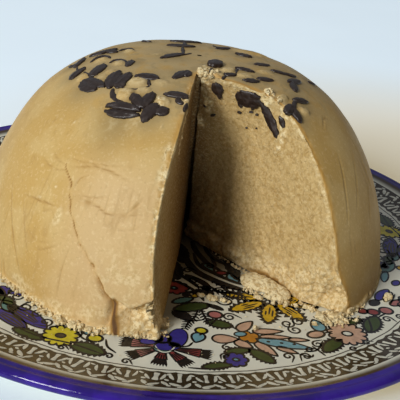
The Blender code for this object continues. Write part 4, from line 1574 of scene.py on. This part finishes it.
# Flakes on the crown, in the dome's frame: node number (0 for none), x, y, length, width, turn
# in degrees, bend, bluntness and thickness.
LEAF_FLAKES = (
    (1, -35.6, -25.9, 12.2, 4.2, -41, 0.02, 0.2, 0.75),
    (1, -37.7, -27, 10.4, 5, -50, -0.04, 0.4, 0.65),
    (2, -34.6, -16.6, 9.4, 5.2, 62, 0, 0.5, 0.75),
    (3, -43.4, -13.8, 8, 4.6, 42, 0.06, 0.4, 0.7),
    (4, -44, -2, 9.6, 3.6, 70, 0, 0.1, 0.7), (4, -46.8, -3, 5.6, 2, -30, 0, 0, 0.6),
    (5, -35, 3.8, 10.8, 4.6, 20, 0, 0.2, 0.75), (5, -31.6, 2.2, 4.8, 3.4, -20, 0, 0.4, 0.7),
    (6, -27.8, -26, 11, 5.4, 74, 0.04, 0.5, 0.85),
    (6, -24.6, -26.4, 8.8, 4.6, 62, -0.04, 0.5, 0.75),
    (6, -25.4, -29.8, 4.4, 4.2, 0, 0, 0.6, 0.7),
    (7, -16.4, -26.6, 9.4, 3.8, -17, 0.07, 0.1, 0.75),
    (8, -19.5, -40.2, 9.2, 3.9, -62, 0.04, 0.5, 1.05),
    (9, -15.5, -39.9, 8.4, 4.3, 66, 0, 0.5, 0.95),
    (10, -24.2, -43.6, 13.4, 3.3, -18, 0.04, 0.3, 1.3),
    (10, -24.8, -46.2, 12.8, 3.7, -15, -0.05, 0.4, 0.8),
    (11, -14.3, -46.5, 9, 4.9, 60, 0.05, 0.3, 1),
    (11, -10.8, -45.6, 5.4, 4.4, 0, 0, 0.7, 0.8),
    (12, -9.6, -4.2, 11.8, 3.6, 42, 0.03, 0.3, 0.6), (13, -7.4, 11.4, 10.8, 4, 6, 0, 0.1, 0.6),
    (14, -6, 21.4, 12.6, 3.4, 8, 0, 0.1, 0.6), (15, -5.5, -24, 8.6, 3.8, 55, 0, 0.1, 0.65),
    (15, -3.4, -23.2, 4.8, 3.4, 70, 0, 0.5, 0.6),
    (16, -6, -37.4, 8.6, 3.2, -8, 0.05, 0.1, 0.75),
    (17, 34.4, -8.4, 8.6, 3.6, 50, 0, 0.3, 0.7), (17, 33.9, -13.6, 7, 3.4, -80, 0, 0.5, 0.7),
    (18, 36.8, -22, 7.8, 3.2, 32, 0, 0.3, 0.8),
    (0, -23.6, -13.8, 6.6, 3.2, 80, 0, 0.6, 0.5), (0, -20.4, 17.8, 4.6, 1.5, -30, 0, 0, 0.5),
    (0, 5.8, -10.6, 6.6, 5.4, 80, 0, 1, 1.5), (0, 8.6, 15.6, 7.4, 3.6, 40, 0, 0.2, 0.6),
    (0, 16.4, 7.8, 7, 3.6, -16, 0, 0.1, 0.65), (0, 16.2, -11.8, 7.2, 2.6, -8, 0.04, 0, 0.6),
    (0, 22.5, -1.2, 6.4, 2.8, 22, 0, 0.1, 0.55), (0, 18.3, -20.4, 6.6, 3, 18, 0, 0.1, 0.6),
    (0, 23.2, -16.2, 7, 3, 20, 0, 0, 0.65), (0, 11, -18.8, 4.8, 2.8, 15, 0, 0.4, 0.7),
    (0, 28.8, -4.6, 7.2, 2.6, 12, 0, 0, 0.6), (0, 33, -2.8, 6, 2.6, 24, 0, 0.2, 0.6),
    (0, 32.6, -31, 5.6, 3.6, 85, 0, 0.7, 0.9), (0, 36.1, -32.2, 7.2, 3.4, -50, 0, 0.4, 0.8),
    (0, 43.2, 3, 5.6, 1.6, 40, 0, 0, 0.5), (0, -2.7, -43.2, 3.8, 1.5, 78, 0, 0.3, 0.7),
)
# Thin runs of chocolate between them: node number, width and path.
STEM_FLAKES = (
    (2, 2, ((-36.6, -18.6), (-36.9, -21), (-36.2, -23.6))),
    (3, 1.2, ((-40.8, -13.8), (-38.8, -16.8), (-37.2, -20.2), (-36.2, -23))),
    (4, 1, ((-44.6, -5.4), (-44.3, -8), (-44, -10.2))),
    (7, 1.8, ((-15.9, -28), (-15.8, -29.8), (-15, -31.6))),
    (8, 2.5, ((-27.7, -31.4), (-28.1, -34), (-27.4, -36.6), (-25.8, -39.2), (-22.4, -41.7))),
    (12, 1.3, ((-6.2, -1.8), (-4.4, 0), (-2.8, 2))),
    (13, 1.4, ((-6.6, 9.8), (-6.5, 6), (-6.2, 3), (-6, -0.6))),
    (14, 1.6, ((-6, 12.6), (-6, 16), (-6.2, 20))),
    (16, 2.2, ((-5.2, -38), (-5.2, -40.2), (-3.4, -41.6))),
    (18, 2.2, ((34.6, -23.4), (34.4, -26.4), (34.5, -29.6))),
    (0, 1.9, ((-38.8, -6.6), (-37, -3.2), (-34.4, -2.2), (-32.6, -3.6), (-31.4, -6.2))),
    (0, 1.7, ((-29.4, 3.2), (-27.4, 5.4), (-25, 5), (-23.8, 1.8))),
    (0, 1.7, ((-31, -11.6), (-29.6, -9.2), (-27.4, -9.2), (-25.8, -11.2), (-24.8, -13.6))),
    (0, 1, ((-25, -31.4), (-21.6, -33.2), (-17.4, -33.2), (-15, -31.4))),
    (0, 1.5, ((4.8, -15), (4.6, -17.6), (4.2, -20.6))),
    (0, 1.4, ((10, -19.6), (9, -21.6), (8.5, -23.6))),
    (0, 1.3, ((13.8, -11.4), (13.3, -13.8), (13.1, -16.4))),
    (0, 1.1, ((7.4, 17), (5.6, 17.6), (4.8, 20))),
)
# Flakes laid bare in the right face: node number, x, z, length, width, turn, bend, bluntness
# and thickness.
FACE_FLAKES = (
    (1, 18.8, 67, 9.4, 7.2, -14, 0, 0.9, 0.8), (1, 16.2, 64.4, 3.4, 2, -75, 0, 0.3, 0.6),
    (1, 20.6, 64.2, 2.6, 1.6, 80, 0, 0.3, 0.6), (2, 26.8, 61, 14.4, 3.9, -56, 0.03, 0.3, 0.9),
    (0, 31, 61.8, 4.6, 2.4, -58, 0, 0.3, 0.7), (0, 7.6, 68.6, 5.4, 4.4, -80, 0, 0.7, 0.9),
    (0, 8.6, 66.2, 3.4, 2, -85, 0, 0.3, 0.8), (0, 7.2, 57.2, 2.2, 1.4, 20, 0, 0.3, 0.6),
    (0, 16.4, 60.8, 1.6, 1.4, 0, 0, 0.5, 0.5), (0, 20.4, 62, 1.7, 1.1, 0, 0, 0.3, 0.5),
    (0, 22.4, 61.4, 1.1, 1, 0, 0, 0.5, 0.4), (0, 19.6, 55, 0.8, 0.8, 0, 0, 0.5, 0.3),
    (0, 3.8, 60.4, 1, 1.6, 0, 0, 0.5, 0.4), (0, 23, 56, 0.7, 0.6, 0, 0, 0.5, 0.3),
)
# Rings of a flake, as shares of its half length and width and of its thickness.
LEAF_RINGS = ((0, 1), (0.3, 1), (0.56, 0.98), (0.76, 0.93), (0.9, 0.8), (0.97, 0.55),
              (1, 0.2), (1, -0.5), (0.6, -0.6), (0, -0.6))
LEAF_SIDES = 44
STEM_SIDES = 10
# First seeds of the jagged edges, for the flakes on the crown, the thin runs and the flakes in
# the cut.
CROWN_SEED, STEM_SEED, FACE_SEED = 100, 400, 500


def leaf_flake(ground, start, heading, measures, seed):
    """A flat flake pressed into a ground: rings of a bent, jagged oval, each at its share of
    the thickness, with a low ridge along the middle.

    The half width follows the sine of the angle to a power that falls with the bluntness.
    """
    long, wide, bend, blunt, thick = measures
    centre, out = ground(start)
    out = out[0]
    along = unit(heading - out * (heading @ out))
    across = np.cross(out, along)
    t = circle(LEAF_SIDES)
    round_trip = polar(2.6, t) * (long / 8 + 0.4)
    jagged = 1 + 0.08 * noise(round_trip, 1.0, seed) + 0.07 * noise(round_trip, 0.35, seed + 1)
    share = np.array(LEAF_RINGS)
    u = long / 2 * np.cos(t) * jagged * share[:, :1]
    side = np.sign(np.sin(t)) * np.abs(np.sin(t)) ** (1.35 - 0.75 * blunt)
    v = wide / 2 * side * jagged * share[:, :1]
    inside = share[:, 1:] > 0.5
    ridge = 0.18 * np.clip(1 - np.abs(v) / (0.16 * wide + 0.2), 0, 1)
    rough = 0.09 * noise(stacked(u, v), 1.1, seed + 2)
    tilt = 0.10 * math.sin(seed * 2.4) * v / wide * 2
    height = thick * share[:, 1:] + inside * (ridge + rough + tilt)
    v = v + bend * long * (1 - 4 * (u / long) ** 2)
    flat = centre + u.reshape(-1, 1) * along + v.reshape(-1, 1) * across
    place, normal = ground(flat)
    return place, normal, height.reshape(-1), grid_faces(len(share), LEAF_SIDES, True)[:, ::-1]


def stem_flake(path, wide, seed):
    """A thin run on the crown: low half-round sections along a smooth path, thinned at its
    ends."""
    plan = smooth_path(path, 6)
    count = len(plan)
    along = unit(np.gradient(plan, axis=0))
    side = stacked(-along[:, 1], along[:, 0])
    part = np.linspace(0.0, 1.0, count)
    half = wide / 2 * (np.sin(np.pi * part) ** 0.3 + 1e-3)
    half = half * (1 + 0.25 * noise(plan, 1.5, seed))
    t = circle(STEM_SIDES)
    flat = plan[:, None] + side[:, None] * (half[:, None] * np.cos(t))[..., None]
    height = (np.minimum(half[:, None], 0.9) * (0.75 * np.sin(t) - 0.1)).reshape(-1)
    place, normal = dome_ground(over_crown(flat.reshape(-1, 2)))
    first = np.arange(STEM_SIDES)
    last = first + STEM_SIDES * (count - 1)
    faces = np.concatenate((grid_faces(count, STEM_SIDES, True),
                            fan_faces(first, first[0])[:, ::-1], fan_faces(last, last[0])))
    return place, normal, height, faces


def make_chocolate(settings):
    """Every flake: one piece for each node, and one for the small bits that are none."""
    groups = {}

    def settle(name, shape, lumpy):
        place, normal, height, faces = shape
        if lumpy:
            height = height + skin_lumps(place, settings)
        groups.setdefault(name, []).append((place + normal * height[:, None], faces))

    for seed, (number, x, y, long, wide, turn, *rest) in enumerate(LEAF_FLAKES):
        heading = np.append(polar(1.0, math.radians(turn)), 0.0)
        settle(number, leaf_flake(dome_ground, over_crown([(x, y)]), heading,
                                  (long, wide, *rest), CROWN_SEED + 5 * seed), True)
    for seed, (number, wide, path) in enumerate(STEM_FLAKES):
        settle(number, stem_flake(path, wide, STEM_SEED + seed), True)
    level = unit(np.array((1.0, -1.0, 0.0)))
    for seed, (number, x, z, long, wide, turn, *rest) in enumerate(FACE_FLAKES):
        heading = level * math.cos(math.radians(turn)) + (0, 0, math.sin(math.radians(turn)))
        settle(-number, leaf_flake(face_ground, np.array([(x, 0.0, z)]), heading,
                                   (long, wide, *rest), FACE_SEED + 5 * seed), False)

    material = chocolate_finish(settings)
    for number, shapes in sorted(groups.items()):
        if number > 0:
            name, nodes = f"chocolate_leaf_{number:02d}", (f"chocolate_flake_{number:02d}",)
        elif number < 0:
            name, nodes = f"chocolate_face_leaf_{-number}", (f"chocolate_in_cut_{-number}",)
        else:
            name, nodes = "chocolate_small_bits", ()
        points, faces = joined(shapes)
        kept, _, triangles = welded(points, faces)
        make_piece(name, points[kept] + DOME_CENTRE, triangles, material,
                   replaces=nodes)


# ---- Broken piece and crumbs ----

# The broken piece's outline on the plate, and how high its top stands at each corner.
CHUNK_OUTLINE = ((-6.6, 4.6, 2.6), (-5.6, -0.2, 1.4), (-1.8, -2.6, 1), (2.2, -3.6, 1.8),
                 (3.8, -7.6, 1), (8.6, -8.6, 1.2), (11.2, -5, 2.4), (7.6, -0.4, 3.2),
                 (2.4, 3.4, 3.4), (-3, 7, 3.2))
CHUNK_CROWN = 0.8
# Its rings, from the foot up: shares of the outline's reach and of the top's height.
CHUNK_RINGS = ((0, 0), (0.5, 0), (0.94, 0), (1.02, 0.16), (1.03, 0.4), (1, 0.66), (0.93, 0.86),
               (0.84, 0.97), (0.7, 1), (0.52, 1), (0.34, 1), (0.16, 1), (0, 1))
CRUMB_SEED = 5
# Crumb heaps: x, y, spread along and across, turn in degrees, count, smallest, largest.
CRUMB_HEAPS = (
    (-59, -52.4, 10, 1.4, -52, 90, 0.5, 1.8), (-47.5, -65, 14, 1.3, -44, 90, 0.4, 1.5),
    (-36.5, -74.2, 8, 1.4, -32, 80, 0.5, 1.9), (-28.5, -77, 7, 2.4, -10, 130, 0.6, 2.4),
    (-21, -77.6, 5, 2, 20, 70, 0.6, 2.2), (-13, -78.4, 9, 1.6, 0, 90, 0.6, 2.2),
    (-8.6, -77.4, 4, 2.4, 14, 110, 0.6, 2.4), (-2, -70.5, 1, 3.2, 0, 50, 0.5, 1.8),
    (13.5, -50.2, 6, 1.4, -18, 34, 0.5, 1.7), (28, -68, 0.7, 0.5, 0, 4, 0.6, 1.3),
    (56.5, -54, 6, 3, 30, 90, 0.6, 2.2), (60.5, -50, 5, 2, 45, 60, 0.6, 2.2),
    (58.5, -57.5, 7, 2.2, 25, 60, 0.5, 2), (49, -50.5, 6, 1.6, -42, 50, 0.5, 1.8),
    (66, -46.6, 5, 1.2, 52, 40, 0.5, 1.5), (78, -37.4, 1.3, 1, 0, 12, 0.6, 1.7),
    (37, -47, 7, 1.8, -34, 46, 0.5, 1.8), (23.4, -25.6, 7, 1, -46, 30, 0.4, 1.2),
    (17.5, -19, 5, 0.8, -50, 20, 0.4, 1), (28, -43, 5, 1.4, -36, 24, 0.4, 1.4),
    (38, -62, 14, 9, 0, 8, 0.25, 0.7), (10, -86, 12, 4, 0, 6, 0.25, 0.6),
    (-30, -84, 16, 5, -20, 8, 0.25, 0.6),
)
# Crumbs left on the halva: x, y, spread, count, smallest, largest.
HIGH_CRUMBS = (
    (1.6, -20.6, 1.5, 14, 1, 2.6), (5.4, -20.6, 1.6, 10, 0.9, 2.4),
    (3, -17, 1.3, 7, 0.8, 1.9), (24.8, -24.8, 1.6, 15, 0.9, 2.3),
    (28.2, -28, 1.2, 8, 0.8, 1.8), (32.2, -31.6, 1, 7, 0.7, 1.6),
)
# Flat fragments: x, y, length, width, height and turn in degrees.
FRAGMENTS = ((13.4, -50.6, 4.4, 2.4, 1, -34), (9.8, -49.2, 2.4, 1.8, 1, 10),
             (57.6, -54.6, 4.2, 3, 2.6, 10), (62.2, -50.4, 4.4, 3, 2.8, 50),
             (51.4, -56.6, 3.6, 2.6, 2.2, -20), (78.9, -36.6, 3, 2.4, 2.2, 0),
             (-4.8, -78.4, 3.4, 2.6, 2.2, 0), (28.3, -67.8, 1.9, 1.3, 1.7, 70),
             (30, -46.6, 3.4, 2.4, 1.2, -30))


def rough_stone(rows, columns):
    """A grid ball of unit radius, from pole to pole, with its faces."""
    tip = np.linspace(0.0, np.pi, rows)[:, None]
    azimuth = circle(columns)[None, :]
    points = stacked(np.sin(tip) * np.cos(azimuth), np.sin(tip) * np.sin(azimuth), np.cos(tip))
    return points.reshape(-1, 3), grid_faces(rows, columns, True)[:, ::-1]


def crumb(stone, stretch, rng):
    """A stone scaled, pushed about by noise and turned."""
    lumpy = stone * (1 + 0.45 * noise(stone + rng.uniform(0, 90, 3), 0.7, 81))[:, None]
    points = lumpy * stretch
    points[:, :2] = turned(points[:, :2], rng.uniform(0, 360))
    return points


def make_broken_piece(settings):
    """The slab by the right face: rings of its outline from a flat foot up to a sloping top,
    all of it rough."""
    corners = np.array(CHUNK_OUTLINE)
    outline = smooth_path(corners, 12, closed=True)
    count = len(outline)
    middle = corners.mean(axis=0) + (0.0, 0.0, CHUNK_CROWN)
    points = []
    for reach, share in CHUNK_RINGS:
        ring = middle + (outline - middle) * (reach, reach, 1.0)
        blend = middle[2] + (ring[:, 2] - middle[2]) * reach
        points.append(np.column_stack((ring[:, :2], blend * share)))
    points = np.concatenate(points)
    kept, _, triangles = welded(points, grid_faces(len(CHUNK_RINGS), count, True))
    points = points[kept]
    normals = vertex_normals(points, triangles)
    rough = 0.6 * noise(points, 3.2, 71) + 0.5 * noise(points, 1.6, 72)
    slanted = 1 - 0.6 * ease(normals[:, 2], 0.6, 0.9)
    points = points + normals * (rough * slanted * ease(points[:, 2], 0.0, 0.6))[:, None]
    points[:, 2] = np.maximum(points[:, 2], 0.0) + 0.02
    centre = np.array(((CHUNK_LOW[0] + CHUNK_HIGH[0]) / 2, (CHUNK_LOW[1] + CHUNK_HIGH[1]) / 2,
                       CHUNK_LOW[2]))
    make_piece("halva_broken_slab", points + centre, triangles, crumb_finish(settings),
               replaces=("halva_broken_piece",))


def make_crumbs(settings):
    """Crumbs: unit stones scaled, turned and pushed about by noise, strewn in heaps on the
    plate, and a few flat fragments."""
    rng = np.random.default_rng(CRUMB_SEED)
    stone, faces = rough_stone(6, 8)
    shapes = []
    for x, y, along, across, turn, count, small, large in CRUMB_HEAPS:
        place = turned(rng.normal(0, 1, (count, 2)) * (along / 2, across / 2), turn) + (x, y)
        size = small + (large - small) * rng.random(count) ** 2.2
        for (spot_x, spot_y), wide in zip(place, size):
            stretch = wide / 2 * rng.uniform(0.65, 1.3, 3)
            points = crumb(stone, stretch, rng)
            lift = plate_height(math.hypot(spot_x + DOME_CENTRE[0], spot_y + DOME_CENTRE[1]))
            points = points + (spot_x, spot_y, lift - FIELD_HEIGHT + 0.30 * wide)
            points[:, 2] = np.maximum(points[:, 2], lift - FIELD_HEIGHT - 0.1)
            shapes.append((points, faces))
    for x, y, spread, count, small, large in HIGH_CRUMBS:
        spots = over_crown(rng.normal(0, spread / 2, (count, 2)) + (x, y))
        spots, normals = dome_ground(spots)
        size = small + (large - small) * rng.random(count) ** 1.5
        for spot, normal, wide in zip(spots, normals, size):
            stretch = wide / 2 * rng.uniform(0.7, 1.25, 3)
            shapes.append((crumb(stone, stretch, rng) + spot + 0.15 * wide * normal, faces))
    stone, faces = rough_stone(14, 22)
    for x, y, long, wide, high, turn in FRAGMENTS:
        lumpy = np.sign(stone) * np.abs(stone) ** 0.8
        lumpy = lumpy * (1 + 0.22 * noise(stone * 1.4 + (x, y, 0), 0.8, 82))[:, None]
        points = lumpy * (long / 2, wide / 2, high / 2)
        points[:, :2] = turned(points[:, :2], turn)
        points = points + (x, y, 0.42 * high)
        points[:, 2] = np.maximum(points[:, 2], -0.1)
        shapes.append((points, faces))
    points, faces = joined(shapes)
    kept, _, triangles = welded(points, faces)
    make_piece("halva_crumbs", points[kept] + DOME_CENTRE, triangles, crumb_finish(settings),
               smooth=False)


# ---- The stage ----

# The camera: where it stands from the dome's centre, in metres, and its angles in degrees.
CAMERA_OFFSET = (0.0, -0.32321, 0.15811)
CAMERA_YAW, CAMERA_PITCH, CAMERA_ROLL = 1.1142, -23.8139, 6.4745
# The lamp: its direction seen from the dome's middle, in degrees, and its distance in metres.
KEY_AZIMUTH, KEY_RISE, KEY_DISTANCE = -126.0, 27.0, 4.5
# Where the soft light from the right and from above comes from.
SIDE_DIRECTION = (0.94, 0.34, 0.0)
SKY_DIRECTION = (-0.30, 0.45, 0.84)
FLOOR_REACH = 8.0
# The lee of the plate on the floor: its middle and its radii, in metres.
LEE_CENTRE = (0.13, 0.06, 0.0)
LEE_RADII = (0.10, 0.30)
# Over which stretch of Y the painted shade in front fades and the floor gets paler.
NEAR_FLOOR_SHADE = (-0.15, 0.05)


def make_floor(settings):
    """A plain square floor under the plate."""
    mesh = bpy.data.meshes.new("floor")
    corners = [(x * FLOOR_REACH, y * FLOOR_REACH, 0.0)
               for x, y in ((-1, -1), (1, -1), (1, 1), (-1, 1))]
    mesh.from_pydata(corners, [], [(0, 1, 2, 3)])
    mesh.materials.append(floor_finish(settings))
    add_object("floor", mesh)


def make_light(settings):
    """Soft light from above and from the right, and one soft square lamp at the left."""
    world = bpy.data.worlds.new("studio")
    world.use_nodes = True
    nodes = Nodes(world.node_tree)
    background = nodes.tree.nodes["Background"]
    feed(background.inputs["Strength"], settings.ambient)
    sight = nodes.add("ShaderNodeTexCoord").outputs["Generated"]
    low = settings.before
    for direction, reach, colour in ((SIDE_DIRECTION, (0.0, 0.9), settings.beside),
                                     (SKY_DIRECTION, (0.15, 0.9), settings.above)):
        along = nodes.vector("DOT_PRODUCT", sight, direction, "Value")
        low = nodes.mix(nodes.ramp(along, *reach), low, colour)
    feed(background.inputs["Color"], low)
    bpy.context.scene.world = world
    lamp = bpy.data.lights.new("key", "AREA")
    lamp.energy = settings.key
    lamp.size = settings.key_size
    turn, rise = math.radians(KEY_AZIMUTH), math.radians(KEY_RISE)
    away = Vector((math.cos(turn) * math.cos(rise), math.sin(turn) * math.cos(rise),
                   math.sin(rise)))
    key = add_object("key", lamp)
    key.location = Vector(DOME_CENTRE * MM) + away * KEY_DISTANCE
    key.rotation_euler = away.to_track_quat("Z", "Y").to_euler()


def make_camera(settings):
    """A camera turned by yaw, then pitch, then roll about its own line of sight."""
    yaw, pitch, roll = (math.radians(angle) for angle in (CAMERA_YAW, CAMERA_PITCH, CAMERA_ROLL))
    forward = Vector((math.sin(yaw) * math.cos(pitch), math.cos(yaw) * math.cos(pitch),
                      math.sin(pitch)))
    right = forward.cross(Vector((0.0, 0.0, 1.0))).normalized()
    upright = right.cross(forward)
    across = math.cos(roll) * right + math.sin(roll) * upright
    above = math.cos(roll) * upright - math.sin(roll) * right
    place = Matrix((across, above, -forward)).transposed().to_4x4()
    place.translation = Vector(DOME_CENTRE * MM) + Vector(CAMERA_OFFSET)
    lens = bpy.data.cameras.new("camera")
    lens.lens = settings.lens
    camera = add_object("camera", lens)
    camera.matrix_world = place
    bpy.context.scene.camera = camera


# ---- Operators and panel ----

class HALVA_OT_plate(bpy.types.Operator):
    """Make the thrown and glazed plate"""

    bl_idname = "halva.plate"
    bl_label = "Plate"

    def execute(self, context):
        points, triangles = plate_shape()
        make_piece("pottery_plate", points, triangles, plate_finish(context.scene.halva_plate),
                   replaces=("plate",))
        return {"FINISHED"}


class HALVA_OT_painting(bpy.types.Operator):
    """Paint the garland, the middle and the scroll border"""

    bl_idname = "halva.painting"
    bl_label = "Painting"

    def execute(self, context):
        paint = Painting(context.scene.halva_plate.stroke)
        for paint.turn in (0.0, 120.0, 240.0):
            garland(paint)
        paint.turn = 0.0
        middle(paint)
        scroll_border(paint)
        paint.pieces(context.scene.halva_plate)
        return {"FINISHED"}


class HALVA_OT_dome(bpy.types.Operator):
    """Make the cut dome of halva"""

    bl_idname = "halva.dome"
    bl_label = "Halva"

    def execute(self, context):
        make_halva(context.scene.halva)
        return {"FINISHED"}


class HALVA_OT_broken_piece(bpy.types.Operator):
    """Make the piece that has fallen from the cut"""

    bl_idname = "halva.broken_piece"
    bl_label = "Broken Piece"

    def execute(self, context):
        make_broken_piece(context.scene.halva)
        return {"FINISHED"}


class HALVA_OT_chocolate(bpy.types.Operator):
    """Make the chocolate flakes on the crown and in the cut"""

    bl_idname = "halva.chocolate"
    bl_label = "Chocolate"

    def execute(self, context):
        make_chocolate(context.scene.halva)
        return {"FINISHED"}


class HALVA_OT_crumbs(bpy.types.Operator):
    """Strew the crumbs round the foot and in the cut"""

    bl_idname = "halva.crumbs"
    bl_label = "Crumbs"

    def execute(self, context):
        make_crumbs(context.scene.halva)
        return {"FINISHED"}


class HALVA_OT_stage(bpy.types.Operator):
    """Set up the floor, the light and the camera"""

    bl_idname = "halva.stage"
    bl_label = "Stage"

    def execute(self, context):
        make_floor(context.scene.halva_stage)
        make_light(context.scene.halva_stage)
        make_camera(context.scene.halva_stage)
        return {"FINISHED"}


OPERATORS = (HALVA_OT_plate, HALVA_OT_painting, HALVA_OT_dome, HALVA_OT_broken_piece,
             HALVA_OT_chocolate, HALVA_OT_crumbs, HALVA_OT_stage)


class HALVA_PT_sidebar(bpy.types.Panel):
    """The sizes and colours, and a button for each group of pieces"""

    bl_idname = "HALVA_PT_sidebar"
    bl_label = "Halva on a Plate"
    bl_space_type = "VIEW_3D"
    bl_region_type = "UI"
    bl_category = "Halva"

    def draw(self, context):
        column = self.layout.column()
        for settings in (context.scene.halva, context.scene.halva_plate,
                         context.scene.halva_stage):
            for key in settings.bl_rna.properties.keys():
                if key not in {"rna_type", "name"}:
                    column.prop(settings, key)
        for operator in OPERATORS:
            column.operator(operator.bl_idname)


CLASSES = (HalvaSettings, PlateSettings, StageSettings, *OPERATORS, HALVA_PT_sidebar)


def register():
    for cls in CLASSES:
        bpy.utils.register_class(cls)
    bpy.types.Scene.halva = PointerProperty(type=HalvaSettings)
    bpy.types.Scene.halva_plate = PointerProperty(type=PlateSettings)
    bpy.types.Scene.halva_stage = PointerProperty(type=StageSettings)


def unregister():
    del bpy.types.Scene.halva_stage
    del bpy.types.Scene.halva_plate
    del bpy.types.Scene.halva
    for cls in reversed(CLASSES):
        bpy.utils.unregister_class(cls)


def main():
    register()
    bpy.context.scene.view_settings.view_transform = "Standard"
    bpy.ops.halva.plate()
    bpy.ops.halva.painting()
    bpy.ops.halva.dome()
    bpy.ops.halva.broken_piece()
    bpy.ops.halva.chocolate()
    bpy.ops.halva.crumbs()
    bpy.ops.halva.stage()


if __name__ == "__main__":
    main()
